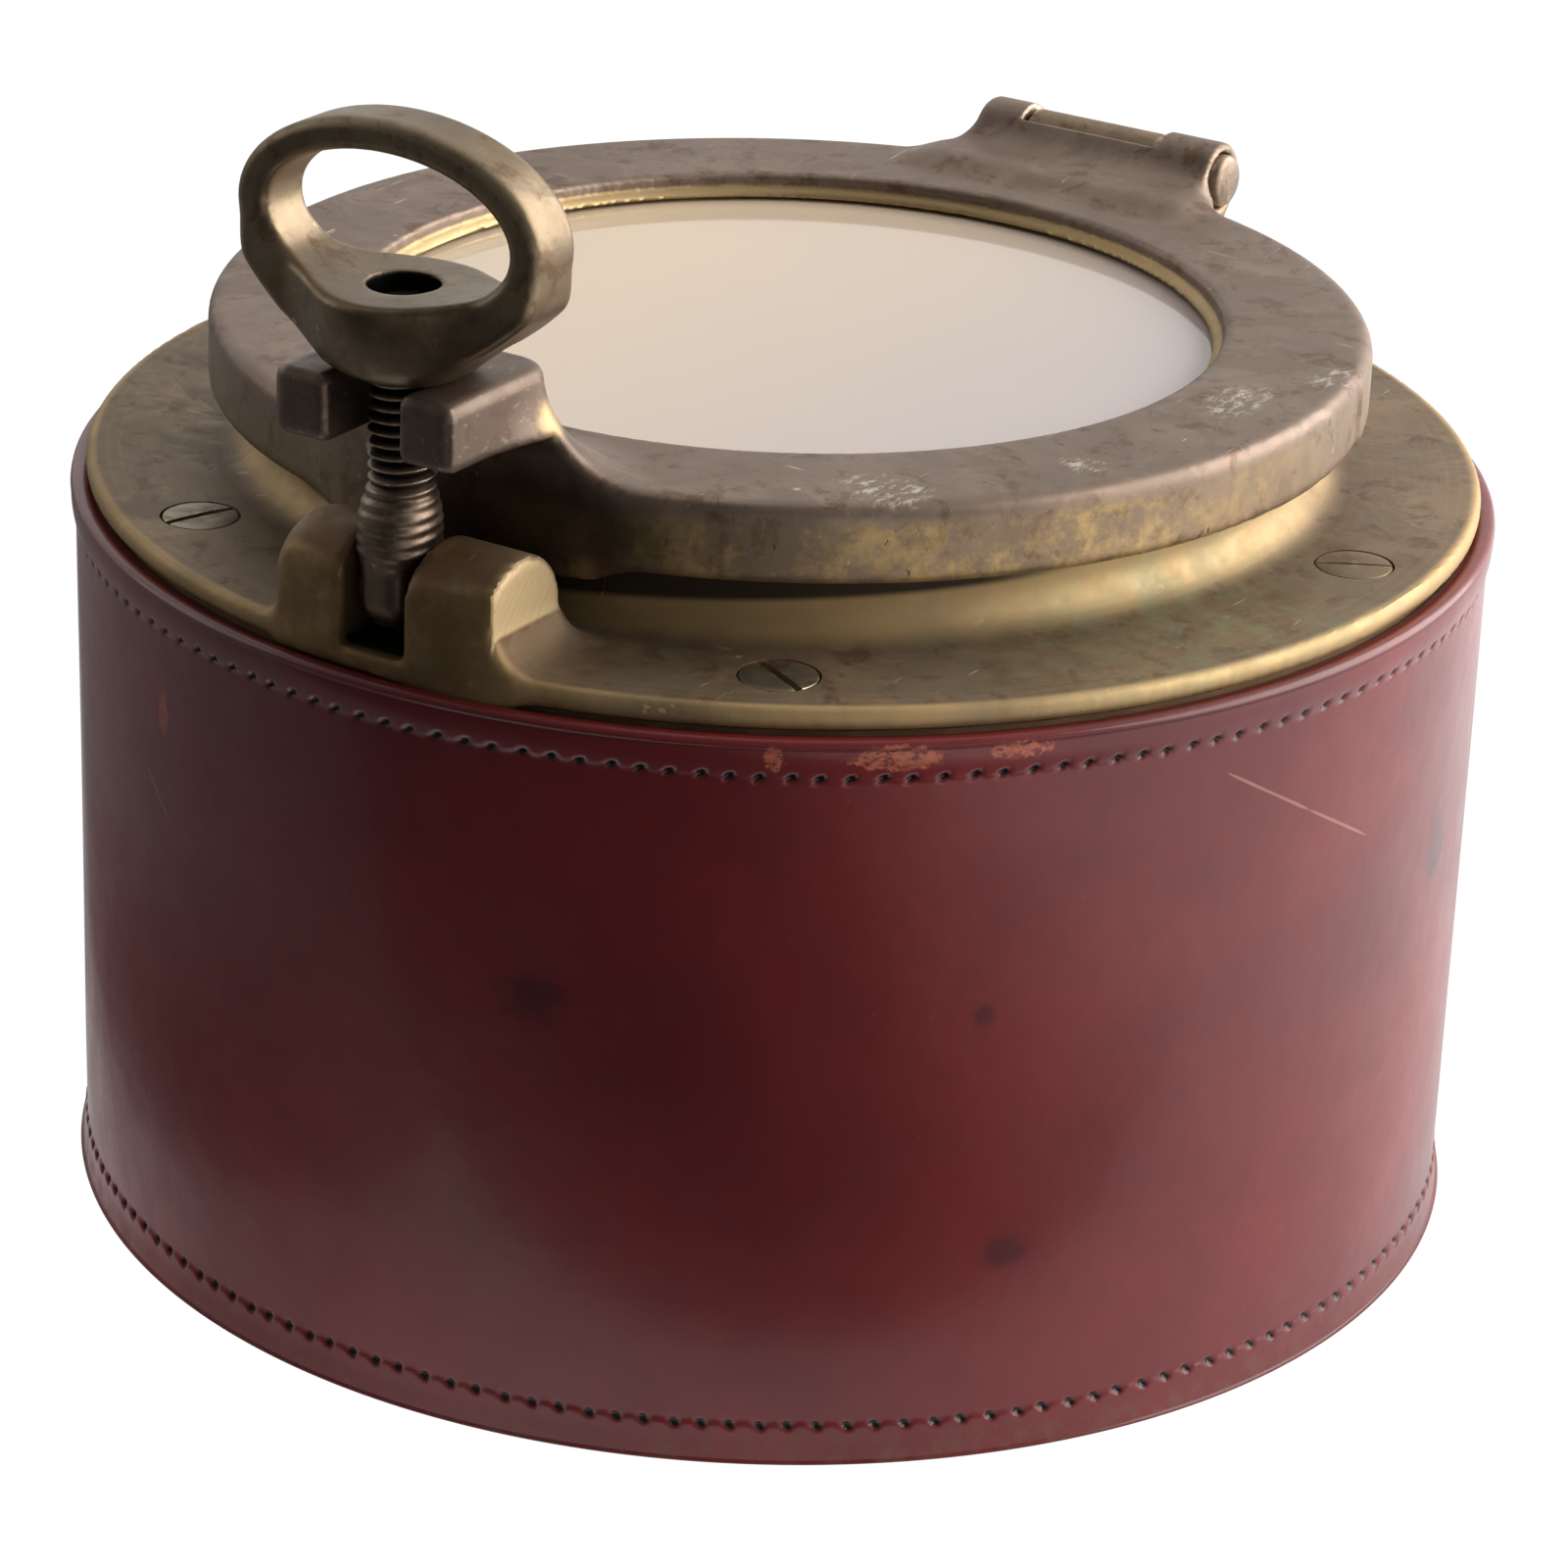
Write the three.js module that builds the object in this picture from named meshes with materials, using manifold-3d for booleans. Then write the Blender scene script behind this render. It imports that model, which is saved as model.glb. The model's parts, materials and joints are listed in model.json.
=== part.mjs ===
// A ship's deck clock: a leather-covered drum case with a screwed brass flange, a hinged glazed
// lid held down by a swing bolt with a ring nut, and a front-wound movement under the dial.
// Millimetres, +Z up. The origin is on the underside, on the drum's axis. -Y is the latch side,
// +Y is the hinge side.
import * as THREE from "three";
import { mergeVertices } from "three/addons/utils/BufferGeometryUtils.js";
import Module from "manifold-3d";

const wasm = await Module();
wasm.setup();

// ---- driving dimensions ----
const GAP = 0.3; // clearance kept between pieces that touch
const RING_SEGMENTS = 48; // facets of the large turned pieces
const SMALL_SEGMENTS = 16; // facets of pins and screws

const DRUM = { caseR: 84.4, leatherInner: 84.7, leatherOuter: 87.6, bottom: 0.4, top: 91.2 };
const PAD = { radius: 83.4, height: 2.1 };
const CAVITY = { radius: 60, floor: 10.4, stepRadius: 66, stepZ: 83.4 };
const FLANGE = {
  bottom: 91.5, top: 94.3, rim: 86, rimFlat: 84.4, spigotR: 65.5, spigotBottom: 83.8,
  neckR: 64.5, neckTop: 102.3, fillet: 5, bore: 58, ledgeR: 54, ledgeTop: 86.7,
};
const SCREW = { count: 6, pitchR: 76.2, first: 32.2, step: 62, headR: 4.5, shankR: 2, bottom: 78 };
const LID = { bottom: 102.9, top: 112.3, rimR: 71.2, rimTop: 68.6, bore: 53, lip: 51.7 };
const GLAZING = { recessR: 56.5, lipUnder: 109.3, glassTop: 109, glassBottom: 105.6 };
const HINGE = { y: 76, z: 113.2, knuckleR: 4.9, pinR: 3.1, holeR: 3.5, half: 19.1, centreHalf: 9.9 };
const LATCH = { y: -79.6, pivotZ: 99, pinR: 2, holeR: 2.3, slotHalf: 4.15, slotFloor: 93.6 };
const LUG = { left: -14, right: 16, archY: -77.8, archR: 6.9 };
const FORK = { halfWidth: 12.1, slotHalf: 4.9, front: -87.5, bottom: 117.6, top: 125.6, slotEnd: -73 };
const BOLT = { radius: 3.95, top: 133.5, eyeR: 4.6, eyeHalf: 3.1 };
const NUT = {
  footR: 7.3, footZ: 126, footRise: 0.3, hubTop: 135.8, boreR: 4.25, ringZ: 142.3, outerX: 20.2, outerZ: 12,
  innerX: 16.8, innerZ: 8.8, bandHalf: 3.65,
};
const DIAL = { radius: 57.4, bottom: 87, thickness: 1.2 };
const PLATE = { backR: 40, frontR: 58.5, thickness: 2.4, backZ: 52, frontZ: 81.1 };
const POSTS = { radius: 37, angles: [45, 135, 225, 315] };
const PLATE_SCREWS = { radius: 56.2, angles: [30, 150, 270] };

const BRASS_DARK = { color: 0x6d5a3c, roughness: 0.45, metalness: 1 };
const BRASS = { color: 0xb08d4a, roughness: 0.35, metalness: 1 };
const STEEL = { color: 0x8d8f92, roughness: 0.3, metalness: 1 };
const BLUED = { color: 0x1c2b4a, roughness: 0.3, metalness: 0.9 };

// ---- solids ----
function toSolid(geometry) {
  const g = geometry.clone();
  g.deleteAttribute("normal");
  g.deleteAttribute("uv");
  const merged = mergeVertices(g, 1e-4);
  const build = (triVerts) =>
    new wasm.Manifold(
      new wasm.Mesh({ numProp: 3, vertProperties: merged.attributes.position.array, triVerts }),
    );
  const index = new Uint32Array(merged.index.array);
  const made = build(index);
  if (made.volume() >= 0) return made;
  for (let i = 0; i < index.length; i += 3) [index[i + 1], index[i + 2]] = [index[i + 2], index[i + 1]];
  return build(index);
}

function toGeometry(solid) {
  const mesh = solid.getMesh();
  const g = new THREE.BufferGeometry();
  g.setAttribute("position", new THREE.BufferAttribute(new Float32Array(mesh.vertProperties), 3));
  g.setIndex(new THREE.BufferAttribute(new Uint32Array(mesh.triVerts), 1));
  g.computeVertexNormals();
  return g;
}

const join = (...solids) => solids.reduce((a, b) => a.add(b));
const cut = (solid, ...tools) => tools.reduce((a, b) => a.subtract(b), solid);

// A turned piece about the Z axis; the profile is a closed list of [radius, z].
function turned(profile, segments = RING_SEGMENTS) {
  const points = profile.map(([r, z]) => new THREE.Vector2(r, z));
  if (points[0].x > 0) points.push(points[0].clone());
  return toSolid(new THREE.LatheGeometry(points, segments).rotateX(Math.PI / 2));
}

const tube = (inner, outer, z0, z1, segments) =>
  turned([[inner, z0], [outer, z0], [outer, z1], [inner, z1]], segments);
const disc = (radius, z0, z1, segments) =>
  turned([[0, z0], [radius, z0], [radius, z1], [0, z1]], segments);

// An outline of [a, b] points pushed along the third axis, between low and high.
function prism(axis, outline, low, high) {
  const shape = new THREE.Shape(outline.map(([a, b]) => new THREE.Vector2(a, b)));
  const g = new THREE.ExtrudeGeometry(shape, { depth: high - low, bevelEnabled: false });
  g.translate(0, 0, low);
  if (axis === "x") g.rotateX(Math.PI / 2).rotateZ(Math.PI / 2); // the outline is (y, z)
  if (axis === "y") g.rotateX(Math.PI / 2).scale(1, -1, 1); // the outline is (x, z)
  return toSolid(g);
}

const block = (x0, x1, y0, y1, z0, z1) =>
  prism("z", [[x0, y0], [x1, y0], [x1, y1], [x0, y1]], z0, z1);

// A round bar along X through (y, z).
function barX(radius, x0, x1, y, z, segments = SMALL_SEGMENTS) {
  const g = new THREE.CylinderGeometry(radius, radius, x1 - x0, segments);
  return toSolid(g.rotateZ(Math.PI / 2).translate((x0 + x1) / 2, y, z));
}

const post = (radius, x, y, z0, z1, segments = SMALL_SEGMENTS) =>
  disc(radius, z0, z1, segments).translate(x, y, 0);

const polar = (r, degrees) => [r * Math.cos((degrees * Math.PI) / 180), r * Math.sin((degrees * Math.PI) / 180)];

// Points of an arc in a plane, from one angle to another in degrees.
function arc(cx, cy, rx, ry, from, to, steps) {
  return Array.from({ length: steps + 1 }, (_, i) => {
    const t = ((from + ((to - from) * i) / steps) * Math.PI) / 180;
    return [cx + rx * Math.cos(t), cy + ry * Math.sin(t)];
  });
}

// ---- case ----
const screwAngles = Array.from({ length: SCREW.count }, (_, i) => {
  const side = i < 3 ? 1 : -1;
  return -90 + side * (SCREW.first + SCREW.step * (i % 3));
});

function woodenCase() {
  const body = turned([
    [0, PAD.height + GAP], [DRUM.caseR, PAD.height + GAP], [DRUM.caseR, DRUM.top],
    [CAVITY.stepRadius, DRUM.top], [CAVITY.stepRadius, CAVITY.stepZ], [CAVITY.radius, CAVITY.stepZ],
    [CAVITY.radius, CAVITY.floor], [0, CAVITY.floor],
  ]);
  const holes = screwAngles.map((a) => {
    const [x, y] = polar(SCREW.pitchR, a);
    return post(SCREW.shankR + GAP, x, y, SCREW.bottom - GAP, DRUM.top + 1, 8);
  });
  return cut(body, ...holes);
}

// The cover is one wall with a slightly flared foot and a rounded turned-over top edge.
const leatherWrap = () =>
  turned([
    [DRUM.leatherInner, DRUM.bottom], [DRUM.leatherOuter + 0.5, DRUM.bottom],
    [DRUM.leatherOuter, DRUM.bottom + 4], [DRUM.leatherOuter, DRUM.top - 1.6],
    [DRUM.leatherOuter - 1.2, DRUM.top], [DRUM.leatherInner, DRUM.top],
  ]);

function flangeRing() {
  const f = FLANGE;
  const body = turned([
    [f.ledgeR, f.spigotBottom], [f.spigotR, f.spigotBottom], [f.spigotR, f.bottom], [f.rim - 0.6, f.bottom],
    [f.rim, f.bottom + 0.8], [f.rim, f.top - 1.2], [f.rimFlat, f.top],
    ...arc(f.neckR + f.fillet, f.top + f.fillet, f.fillet, f.fillet, 270, 180, 4),
    [f.neckR, f.neckTop], [63.1, f.neckTop], [63.1, 100.9], [59.5, 100.9], [59.5, f.neckTop],
    [f.bore, f.neckTop], [f.bore, f.ledgeTop], [f.ledgeR, f.ledgeTop],
  ]);
  const rim = disc(f.rimFlat, f.bottom - 10, HINGE.z + 10);
  const lugOutline = [
    [LUG.archY + LUG.archR, f.top - 1], [LUG.archY + LUG.archR, LATCH.pivotZ],
    ...arc(LUG.archY, LATCH.pivotZ + 0.4, LUG.archR, LUG.archR, 0, 180, 10),
    [LUG.archY - LUG.archR, f.top - 1],
  ];
  const lugs = prism("x", lugOutline, LUG.left, LUG.right).intersect(rim);
  const lugFoot = prism("y", [
    [LUG.left - 5, f.top - 0.5], [LUG.left - 5, f.top + 0.3], [LUG.left - 1.6, f.top + 1.6],
    [LUG.left, f.top + 5], [LUG.right, f.top + 5], [LUG.right + 1.6, f.top + 1.6],
    [LUG.right + 5, f.top + 0.3], [LUG.right + 5, f.top - 0.5],
  ], LUG.archY - LUG.archR, LUG.archY + LUG.archR).intersect(rim);
  const slot = block(-LATCH.slotHalf, LATCH.slotHalf, f.rim * -1 - 2, LUG.archY + 9, LATCH.slotFloor, 110);
  const web = block(-HINGE.centreHalf, HINGE.centreHalf, HINGE.y - 3.8, HINGE.y + 4, f.top - 1, HINGE.z);
  const knuckle = barX(HINGE.knuckleR, -HINGE.centreHalf, HINGE.centreHalf, HINGE.y, HINGE.z);
  const sinks = screwAngles.map((a) => {
    const [x, y] = polar(SCREW.pitchR, a);
    return join(
      post(SCREW.shankR + GAP, x, y, f.bottom - 1, f.top, 8),
      turned([[0, f.top - 2.6], [SCREW.shankR + GAP, f.top - 2.6], [SCREW.headR + GAP, f.top - 0.5],
        [SCREW.headR + GAP, f.top + 0.5], [0, f.top + 0.5]], 12).translate(x, y, 0),
    );
  });
  const plateHoles = PLATE_SCREWS.angles.map((a) => {
    const [x, y] = polar(PLATE_SCREWS.radius, a);
    return post(1.4, x, y, f.spigotBottom - 1, 86, 10);
  });
  return cut(
    join(body, lugs, lugFoot, web, knuckle),
    slot,
    ...plateHoles,
    barX(LATCH.holeR, LUG.left - 1, LUG.right + 1, LATCH.y, LATCH.pivotZ),
    barX(HINGE.holeR, -HINGE.centreHalf - 1, HINGE.centreHalf + 1, HINGE.y, HINGE.z),
    ...sinks,
  );
}

function flangeScrew(slotTurn) {
  const top = FLANGE.top - 0.1;
  const body = turned([
    [0, SCREW.bottom], [SCREW.shankR, SCREW.bottom], [SCREW.shankR, top - 2.3], [SCREW.headR, top - 0.5],
    [SCREW.headR, top], [0, top],
  ], 12);
  return cut(body, block(-6, 6, -0.45, 0.45, top - 1, top + 1).rotate([0, 0, slotTurn]));
}

// ---- lid ----
function lidRing() {
  const l = LID;
  const h = HINGE;
  const ring = turned([
    [GLAZING.recessR, l.bottom], [l.rimR - 1, l.bottom], [l.rimR - 0.2, l.bottom + 1.3],
    [l.rimR, l.bottom + 4.6], [l.rimR - 0.8, l.top - 1.8], [l.rimTop, l.top - 0.1], [l.bore, l.top],
    [l.bore - 0.3, l.top - 1.7],
    [l.lip, GLAZING.lipUnder + 0.5], [l.lip, GLAZING.lipUnder], [GLAZING.recessR, GLAZING.lipUnder],
  ]);
  const flank = [[27, 111], [20, 112.8], [15.2, 116], [FORK.halfWidth, 120], [FORK.halfWidth, FORK.top]];
  const front = prism("y", [...flank, ...flank.map(([x, z]) => [-x, z]).reverse()], -90, -54);
  const side = prism("x", [
    [FORK.front, FORK.bottom + 1], [FORK.front, FORK.top - 3], [FORK.front + 3, FORK.top], [-65, FORK.top],
    [-61, 122.5], [-58, 117], [-54.5, l.top - 0.2], [-54.5, 111], [-68, 111], [-69.4, 115.5],
    [-72, FORK.bottom], [FORK.front + 1, FORK.bottom],
  ], -30, 30);
  const raised = front.intersect(side);
  const plate = block(-FORK.halfWidth, FORK.halfWidth, FORK.front - 1, -60, FORK.bottom - 0.1, FORK.top + 1);
  const fork = join(raised.intersect(disc(69.6, 100, 130)), raised.intersect(plate));
  const slotShape = [
    [FORK.slotHalf, FORK.front - 3], [FORK.slotHalf, FORK.slotEnd - FORK.slotHalf],
    ...arc(0, FORK.slotEnd - FORK.slotHalf, FORK.slotHalf, FORK.slotHalf, 0, 180, 8),
    [-FORK.slotHalf, FORK.front - 3],
  ];
  const hingeLug = prism("x", [
    [61, 108], [61, l.top - 0.2], [66.5, 112.8], [69.5, 115], [72, 117.3], [h.y, h.z + h.knuckleR],
    ...arc(h.y, h.z, h.knuckleR, h.knuckleR, 75, -90, 8), [72, 106.4], [69.5, 104.4],
  ], -h.half, h.half);
  return cut(
    join(ring, fork, hingeLug),
    prism("z", slotShape, FORK.bottom - 3, FORK.top + 3),
    barX(h.knuckleR + 0.45, -h.centreHalf - 0.4, h.centreHalf + 0.4, h.y, h.z, 24),
    block(-h.centreHalf - 0.4, h.centreHalf + 0.4, h.y - 5.2, h.y + 8, 100, h.z),
    barX(h.holeR, -h.half - 1, h.half + 1, h.y, h.z),
    disc(l.bore, l.top, 140),
  );
}

// ---- latch ----
function swingBolt() {
  const y = LATCH.y;
  const rod = turned([
    [0, LATCH.pivotZ], [3.2, LATCH.pivotZ], [3.2, 104.2], [BOLT.radius, 106], [BOLT.radius, BOLT.top - 0.8],
    [BOLT.radius - 0.8, BOLT.top], [0, BOLT.top],
  ], SMALL_SEGMENTS).translate(0, y, 0);
  const eye = barX(BOLT.eyeR, -BOLT.eyeHalf, BOLT.eyeHalf, y, LATCH.pivotZ, 24);
  return cut(join(rod, eye), barX(LATCH.holeR, -6, 6, y, LATCH.pivotZ));
}

function ringNut() {
  const n = NUT;
  const outline = [
    [-n.footR, n.footZ + n.footRise], [-4.5, n.footZ], [4.5, n.footZ], [n.footR, n.footZ + n.footRise],
    [18.8, 138], ...arc(0, n.ringZ, n.outerX, n.outerZ, 0, 180, 16), [-18.8, 138],
  ];
  const window = arc(0, n.ringZ, n.innerX, n.innerZ, -40, 220, 18);
  const depth = [[7.3, n.footZ], [8.2, 130], [7.2, n.hubTop - 1], [n.bandHalf + 0.5, 139.5], [n.bandHalf, 142],
    [n.bandHalf, 155]];
  const body = prism("y", outline, -9, 9)
    .intersect(prism("x", [...depth, ...depth.map(([a, z]) => [-a, z]).reverse()], -21, 21));
  const hubTaper = turned([[0, n.footZ - 1], [n.footR, n.footZ + n.footRise], [30, 147], [30, 160], [0, 160]], 20);
  return cut(body.intersect(hubTaper), prism("y", window, -12, 12), disc(n.boreR, 120, 150, 16),
    disc(6.3, 120, n.footZ + 1.2, 16)).translate(0, LATCH.y, 0);
}

// ---- movement ----
// A wheel with pointed teeth, drawn in its own place.
function wheel({ x = 0, y = 0, z, thickness = 1.4, radius, teeth, toothHeight = 1.2, bore }) {
  const outline = Array.from({ length: teeth * 2 }, (_, i) => {
    const r = i % 2 ? radius : radius - toothHeight;
    return polar(r, (180 * i) / teeth);
  });
  const body = prism("z", outline, z, z + thickness);
  return cut(body, disc(bore, z - 1, z + thickness + 1, 16)).translate(x, y, 0);
}

// A wheel fixed on its arbor, with a plain drum where its pinion's leaves would be.
function wheelOnArbor({ x, y, z, radius, teeth, thickness = 1.4, arborR = 1, z0, z1, drumR, drumZ }) {
  return join(
    wheel({ x, y, z, thickness, radius, teeth, bore: arborR * 0.6 }),
    post(arborR, x, y, z0, z1, 10),
    post(drumR, x, y, drumZ[0], drumZ[1], 12),
  );
}

const TRAIN = {
  barrel: { x: 0, y: 20.5, radius: 17.2 },
  centre: { x: 0, y: 0, radius: 14.5 },
  third: { x: -12, y: -12.6, radius: 14.7 },
  fourth: { x: 0, y: -25, radius: 12.1 },
  escape: { x: 14.2, y: -22.4, radius: 8 },
  pallet: { x: 22.5, y: -14 },
  balance: { x: 27, y: -5, radius: 8.3 },
  click: { x: 10, y: 26 },
  minute: { x: 10.6, y: 0, radius: 8.1 },
};
const ARBOR_LOW = PLATE.backZ + PLATE.thickness + 0.4;
const ARBOR_HIGH = PLATE.frontZ - 0.4;
const PLATE_TOP = PLATE.frontZ + PLATE.thickness;

function movementPlate(radius, z, holes) {
  const body = disc(radius, z, z + PLATE.thickness, 40);
  return cut(body, ...holes.map(([x, y, r]) => post(r, x, y, z - 1, z + PLATE.thickness + 1, 12)));
}

function plateScrew() {
  return turned([[0, PLATE.frontZ - 1.7], [2.4, PLATE.frontZ - 1.7], [2.4, PLATE.frontZ - GAP],
    [1.1, PLATE.frontZ - GAP], [1.1, 85.7], [0, 85.7]], 12);
}

function balanceWheel() {
  const { x, y, radius } = TRAIN.balance;
  const parts = [
    tube(radius - 1.5, radius, 69, 71, 28), block(-radius + 1, radius - 1, -0.8, 0.8, 69.3, 70.7),
    disc(0.8, ARBOR_LOW, ARBOR_HIGH, 10), disc(1.7, 64.6, 65.6, 12),
  ];
  return join(...parts).translate(x, y, 0);
}

// A flat spiral spring of three turns round the balance staff.
function hairspring() {
  const turns = 3;
  const perTurn = 14;
  const half = 0.2;
  const path = (offset) => Array.from({ length: turns * perTurn + 1 }, (_, i) =>
    polar(2 + (i / (turns * perTurn)) * 4.4 + offset, (360 * i) / perTurn));
  const strip = prism("z", [...path(half), ...path(-half).reverse()], 73.2, 74.2);
  return strip.translate(TRAIN.balance.x, TRAIN.balance.y, 0);
}

// The lever's pallets face the escape wheel and its forked tail reaches towards the balance staff.
function palletLever() {
  const { x, y } = TRAIN.pallet;
  const anchor = [[-1, 6.6], [1, 6.6], [0.9, 0], [5, -1.4], [4.8, -2.8], [0, -1.6], [-4.8, -2.8], [-5, -1.4],
    [-0.9, 0]];
  const toBalance = (Math.atan2(TRAIN.balance.y - y, TRAIN.balance.x - x) * 180) / Math.PI - 90;
  return join(prism("z", anchor, 66, 67.2), disc(0.9, ARBOR_LOW, ARBOR_HIGH, 10))
    .rotate([0, 0, toBalance]).translate(x, y, 0);
}

function clickPawl() {
  const { x, y } = TRAIN.click;
  const arm = prism("z", [[1.4, -1.2], [1.4, 1.2], [-1, 1.4], [-4, -1.6], [-1, -1.4]], 75, 76.2);
  return join(arm, disc(1.1, 75, ARBOR_HIGH, 10)).translate(x, y, 0);
}

// ---- dial and hands ----
function dialPlate() {
  const z = DIAL.bottom;
  return cut(disc(DIAL.radius, z, z + DIAL.thickness, 40),
    disc(3.4, z - 1, z + 3, 14), post(3.6, TRAIN.barrel.x, TRAIN.barrel.y, z - 1, z + 3, 16),
    post(1.5, TRAIN.fourth.x, TRAIN.fourth.y, z - 1, z + 3, 12));
}

// A tapered hand with a round boss, pointing along +Y.
function hand(length, width, tail, bossR, holeR, z, thickness) {
  const blade = prism("z", [[-width / 2, -tail], [width / 2, -tail], [width * 0.8, length * 0.72], [0, length],
    [-width * 0.8, length * 0.72]], z, z + thickness);
  return cut(join(blade, disc(bossR, z, z + thickness, 20)), disc(holeR, z - 1, z + thickness + 1, 16));
}

// ---- assembly ----
const clock = new THREE.Group();

function add(name, solid, look) {
  const mesh = new THREE.Mesh(toGeometry(solid), new THREE.MeshStandardMaterial(look));
  mesh.name = name;
  clock.add(mesh);
  return mesh;
}

add("wooden_case", woodenCase(), { color: 0x6b4a2c, roughness: 0.7, metalness: 0 });
add("leather_wrap", leatherWrap(), { color: 0x4a1218, roughness: 0.35, metalness: 0 });
add("base_pad", disc(PAD.radius, 0, PAD.height), { color: 0x2c3a2a, roughness: 0.95, metalness: 0 });
add("flange_ring", flangeRing(), BRASS_DARK);
screwAngles.forEach((angle, i) => {
  const mesh = add(`flange_screw_${i + 1}`, flangeScrew(angle + 40 + i * 47), BRASS_DARK);
  const [x, y] = polar(SCREW.pitchR, angle);
  mesh.position.set(x, y, 0);
});

add("lid_ring", lidRing(), BRASS_DARK);
add("glass", disc(56, GLAZING.glassBottom, GLAZING.glassTop, 40),
  { color: 0xdfe4e2, roughness: 0.05, metalness: 0, transparent: true, opacity: 0.3 });
add("glass_gasket", tube(52.2, 56, 104.6, 105.3, 40), { color: 0x1b1a18, roughness: 0.8, metalness: 0 });
add("glass_retaining_ring", tube(52, 56.1, 103.1, 104.3, 40), BRASS);
add("lid_seal", tube(59.9, 62.7, 101.2, LID.bottom - GAP, 40), { color: 0x2a1f18, roughness: 0.9, metalness: 0 });
add("hinge_pin", barX(HINGE.pinR, -HINGE.half - 0.8, HINGE.half + 0.8, HINGE.y, HINGE.z), BRASS_DARK);

add("swing_bolt", swingBolt(), BRASS_DARK);
add("swing_bolt_pin", barX(LATCH.pinR, LUG.left + 0.6, LUG.right - 0.6, LATCH.y, LATCH.pivotZ), STEEL);
add("ring_nut", ringNut(), BRASS_DARK);
add("nut_thrust_washer", tube(BOLT.radius + GAP, 6, NUT.footZ + 0.1, NUT.footZ + 0.9, 14)
  .translate(0, LATCH.y, 0), STEEL);

add("dial", dialPlate(), { color: 0xe8e2d2, roughness: 0.5, metalness: 0.1 });
add("dial_rim_ring", turned([[53.6, 88.5], [57.6, 88.5], [57.6, 99.5], [56.6, 99.5]], 40), BRASS);
add("movement_back_plate", movementPlate(PLATE.backR, PLATE.backZ, []), BRASS);
add("movement_front_plate", movementPlate(PLATE.frontR, PLATE.frontZ, [
  [0, 0, 1.6], [TRAIN.barrel.x, TRAIN.barrel.y, 2.6], [TRAIN.fourth.x, TRAIN.fourth.y, 1.4],
  ...PLATE_SCREWS.angles.map((a) => [...polar(PLATE_SCREWS.radius, a), 1.4]),
]), BRASS);
POSTS.angles.forEach((angle, i) => {
  const [x, y] = polar(POSTS.radius, angle);
  const pillar = post(2.2, x, y, PLATE.backZ + PLATE.thickness + GAP, PLATE.frontZ - GAP, 12);
  add(`plate_pillar_${i + 1}`, pillar, BRASS);
  add(`dial_foot_${i + 1}`, post(1.8, x, y, PLATE_TOP + GAP, DIAL.bottom - GAP, 12), BRASS);
});
PLATE_SCREWS.angles.forEach((angle, i) => {
  const mesh = add(`movement_screw_${i + 1}`, plateScrew(), STEEL);
  const [x, y] = polar(PLATE_SCREWS.radius, angle);
  mesh.position.set(x, y, 0);
});

const { barrel, centre, third, fourth, escape, minute } = TRAIN;
add("mainspring_barrel", join(
  wheel({ ...barrel, z: 58, thickness: 3, teeth: 40, bore: 3.2 }),
  tube(3.2, 15, 58, 74, 32).translate(barrel.x, barrel.y, 0),
), BRASS);
add("winding_arbor", join(
  post(2.2, barrel.x, barrel.y, ARBOR_LOW, 86, 16),
  wheel({ ...barrel, z: 75, radius: 6.5, toothHeight: 0.8, teeth: 18, bore: 1 }),
  block(-1.5, 1.5, -1.5, 1.5, 85.5, 89.6).translate(barrel.x, barrel.y, 0),
), STEEL);
add("centre_wheel", wheelOnArbor({ ...centre, z: 76.8, teeth: 40, arborR: 1.2, z0: ARBOR_LOW, z1: 86, drumR: 3,
  drumZ: [57.5, 62] }), BRASS);
add("third_wheel", wheelOnArbor({ ...third, z: 65, teeth: 36, z0: ARBOR_LOW, z1: ARBOR_HIGH, drumR: 2.6,
  drumZ: [75.8, 79] }), BRASS);
add("fourth_wheel", wheelOnArbor({ ...fourth, z: 61.4, teeth: 32, z0: ARBOR_LOW, z1: 89.8, drumR: 2.2,
  drumZ: [64, 68] }), BRASS);
add("escape_wheel", wheelOnArbor({ ...escape, z: 66, teeth: 15, z0: ARBOR_LOW, z1: ARBOR_HIGH, drumR: 2,
  drumZ: [60.4, 64] }), STEEL);
add("pallet_lever", palletLever(), STEEL);
add("click", clickPawl(), STEEL);
add("balance_wheel", balanceWheel(), BRASS);
add("hairspring", hairspring(), BLUED);

add("cannon_pinion", tube(1.5, 2.2, PLATE_TOP + GAP, 94.4, 16), STEEL);
add("minute_wheel", wheelOnArbor({ ...minute, z: 83.9, thickness: 1, teeth: 24, z0: PLATE_TOP + GAP, z1: 86.6,
  drumR: 1.7, drumZ: [84.5, 86.5] }), BRASS);
add("hour_wheel", join(
  wheel({ z: 85.6, thickness: 0.9, radius: 8.6, teeth: 24, bore: 2.6 }), tube(2.6, 3.1, 85.6, 92, 16),
), BRASS);
add("hour_hand", hand(27, 4.4, 7, 4.6, 3.4, 90.2, 0.7), BLUED);
add("minute_hand", hand(43, 3.6, 10, 4.2, 2.5, 92.6, 0.7), BLUED);
add("seconds_hand", hand(9.6, 1, 4, 1.9, 1.3, 88.7, 0.5).translate(fourth.x, fourth.y, 0), BLUED);

export default clock;
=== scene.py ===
"""A ship's deck clock in a leather-covered drum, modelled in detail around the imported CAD.

Lengths are millimetres in the row's frame (+Z up, -Y the latch side, +Y the hinge side), and become metres
when a mesh is made. Cast and worn brass pieces are signed distance fields turned into meshes; turned and
stitched pieces are built ring by ring. Azimuths are degrees anticlockwise from the latch, seen from above.
"""

import json
import math
from functools import reduce

import bmesh
import bpy
import numpy as np
import openvdb
from mathutils import Matrix, Vector


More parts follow.
